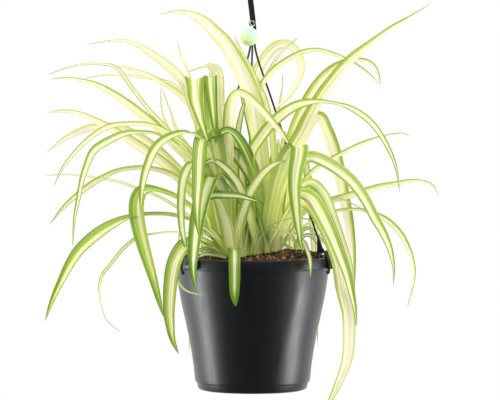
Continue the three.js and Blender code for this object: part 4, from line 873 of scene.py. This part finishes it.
def grown(leaf, tone):
    """A copy of the blade, bent along its leaf's line; tone sets its streaks and waves apart from others."""
    width, heading, cream, green, lean, points, *taper = leaf
    rows = []
    for x, z, depth, *turn in points:
        rows.append([x, z, depth, *(turn or rows[-1][3:])])
    p = np.array(rows, float)
    spread = (VIEW_DISTANCE + p[:, 2]) / VIEW_DISTANCE
    line = extended(np.stack([p[:, 0] * spread, p[:, 2], VIEW_HEIGHT + (p[:, 1] - VIEW_HEIGHT) * spread], 1))
    u = length * (len(p) - 1)
    k = np.minimum(u.astype(int), len(p) - 2)
    t = (u - k)[:, None]
    a, b, c, d = line[k], line[k + 1], line[k + 2], line[k + 3]
    centre = passing(a, b, c, d, t)
    along = unit(0.5 * ((c - a) + 2 * (2 * a - 5 * b + 4 * c - d) * t + 3 * (3 * b - a - 3 * c + d) * t ** 2))
    h = math.radians(heading)
    level = np.array([-math.sin(h), math.cos(h), 0.0])
    level = unit(level - along * (along @ level)[:, None])
    up = np.cross(along, level)
    turn = np.radians(p[k, 3] + (p[k + 1, 3] - p[k, 3]) * (u - k))[:, None]
    side = level * np.cos(turn) + up * np.sin(turn)
    face = up * np.cos(turn) - level * np.sin(turn)
    full = ROOT_WIDTH + (1 - ROOT_WIDTH) * np.sin(np.minimum(length / WIDENING, 1) * math.pi / 2)
    w = width * (full * (1 - length ** (taper or [TAPER])[0]) ** 0.8)
    wave = WAVE * w * np.sin(2 * math.pi * (length * (3 + 3 * tone) + tone * 7)) * np.abs(across) ** 2
    fold = FOLD * w * np.abs(across) ** 1.35
    placed = centre + side * (across * w / 2)[:, None] + face * (fold + wave)[:, None]
    copy = copy_of(blade)
    copy.data.vertices.foreach_set("co", (placed * MM).ravel())
    span = np.linalg.norm(np.diff(line[1:-1], axis=0), axis=1).sum() / 100
    for name, value in zip(TRAITS, (cream, green, lean, tone, span)):
        copy.data.attributes[name].data.foreach_set("value", [value] * len(copy.data.vertices))
    return copy


def leaf_material(name, under):
    """Green margins, a yellow-green line, a cream middle and fine veins, with painted light: a bright yellow
    base for light coming through the leaves, and paler margins for leaves lit from behind; under is the
    duller lower face.
    """
    look, tree, surface = material(name, {"Roughness": 0.55 if under else 0.4, "IOR": 1.42})
    where = axes(tree, node(tree, "UVMap", uv_map="blade").outputs["UV"])
    u, v = where["X"], where["Y"]
    cream, green, lean, tone, span = [node(tree, "Attribute", attribute_name=trait).outputs["Fac"]
                                      for trait in TRAITS]

    def times(first, second):
        return arithmetic(tree, "MULTIPLY", first, second)

    def streaks(wide, long, detail):
        """Noise drawn out along the leaf: wide cells across it, and long cells on each 10 cm."""
        spot = node(tree, "CombineXYZ", {"X": times(u, wide), "Y": times(run, long), "Z": times(tone, 37.0)})
        return streaky(tree, spot.outputs[0], 1.0, detail)

    run = times(v, span)
    fine = ranged(tree, v, *LINES_FADE, 1.0, 0.0)

    # from the stripe's middle to the margin; the stripe's edge wanders, and the green closes over the tip
    middle = arithmetic(tree, "ADD", arithmetic(tree, "MULTIPLY_ADD", u, 2.0, -1.0), lean)
    edge = arithmetic(tree, "SUBTRACT", arithmetic(tree, "ABSOLUTE", middle), cream)
    edge = arithmetic(tree, "ADD", edge, ranged(tree, streaks(5.0, 1.3, 2.0), 0.2, 0.8, -0.13, 0.13))
    edge = arithmetic(tree, "ADD", edge, ranged(tree, v, 0.82, 1.0, 0.0, 0.4))
    place = ranged(tree, edge, -0.3, 0.7)
    # partly painted light: a low green takes the pale ramp, the washed-out look of leaves lit strongly from
    # behind
    shade = mixed(tree, green, ramp(tree, place, PALE_MARGIN_AND_BACKLIT_LEAF), ramp(tree, place, GREEN_LEAF))
    for wide, long, start, full, most, code in LINES:
        line = ranged(tree, streaks(wide, long, 1.0), start, full, 0.0, most)
        shade = mixed(tree, times(line, fine), shade, colour(code))
    # painted light over the blade's own pale base: near the root the blade is mixed to a bright yellow that
    # stands for light coming through the leaves into the shaded middle of the plant
    shade = mixed(tree, ranged(tree, v, 0.05, 0.34, 0.75, 0.0), shade, colour(PALE_ROOT_AND_GLOW_COLOUR))
    veins = streaks(34.0, 0.8, 2.0)
    bands = ranged(tree, streaks(10.0, 0.1, 1.0), 0.35, 0.65, 0.91, 1.09)
    light = times(ranged(tree, veins, 0.25, 0.75, 0.86, 1.12), bands)
    shade = node(tree, "HueSaturation", {"Color": shade, "Value": light,
                                         "Saturation": 0.92 if under else 1.0}).outputs["Color"]
    if under:
        shade = mixed(tree, 0.15, shade, colour(UNDER_COLOUR))
    dressed(tree, surface, shade, times(veins, fine), 0.3, 0.00012)

    # light also comes through the blade
    glow = node(tree, "HueSaturation", {"Color": shade, "Saturation": 1.02, "Value": 1.1})
    through = node(tree, "BsdfTranslucent", {"Color": glow.outputs["Color"]})
    body = node(tree, "MixShader", {0: 0.6, 1: surface.outputs[0], 2: through.outputs[0]})
    tree.links.new(body.outputs[0], tree.nodes["Material Output"].inputs["Surface"])
    return look


leaf_face = leaf_material("leaf_upper_face", False)
leaf_under = leaf_material("leaf_lower_face", True)

tones = random.Random(11)
for rosette, leaves in {
    "rosette_front": FRONT_LEFT + FRONT_RIGHT + BASES,
    "rosette_offset": OFFSET,
    "rosette_back_left": BACK_LEFT + back_leaves((-18, 38), 82, 6, 8, 111),
    "rosette_back_right": BACK_RIGHT + back_leaves((26, 40), 66, 4, 7, 2371),
}.items():
    sheet = joined("leaves_" + rosette, [grown(leaf, tones.random()) for leaf in leaves])
    only(sheet)
    bpy.ops.object.mode_set(mode="EDIT")
    bpy.ops.mesh.select_all(action="SELECT")
    bpy.ops.mesh.remove_doubles(threshold=0.002 * MM)
    bpy.ops.object.mode_set(mode="OBJECT")
    sheet.data.materials.append(leaf_face)
    sheet.data.materials.append(leaf_under)
    modified(sheet, "SOLIDIFY", thickness=SHEET * MM, offset=0, material_offset=1, material_offset_rim=0)
    finished(sheet, POT_PLACE, None, rosette, 50)
bpy.data.objects.remove(blade)
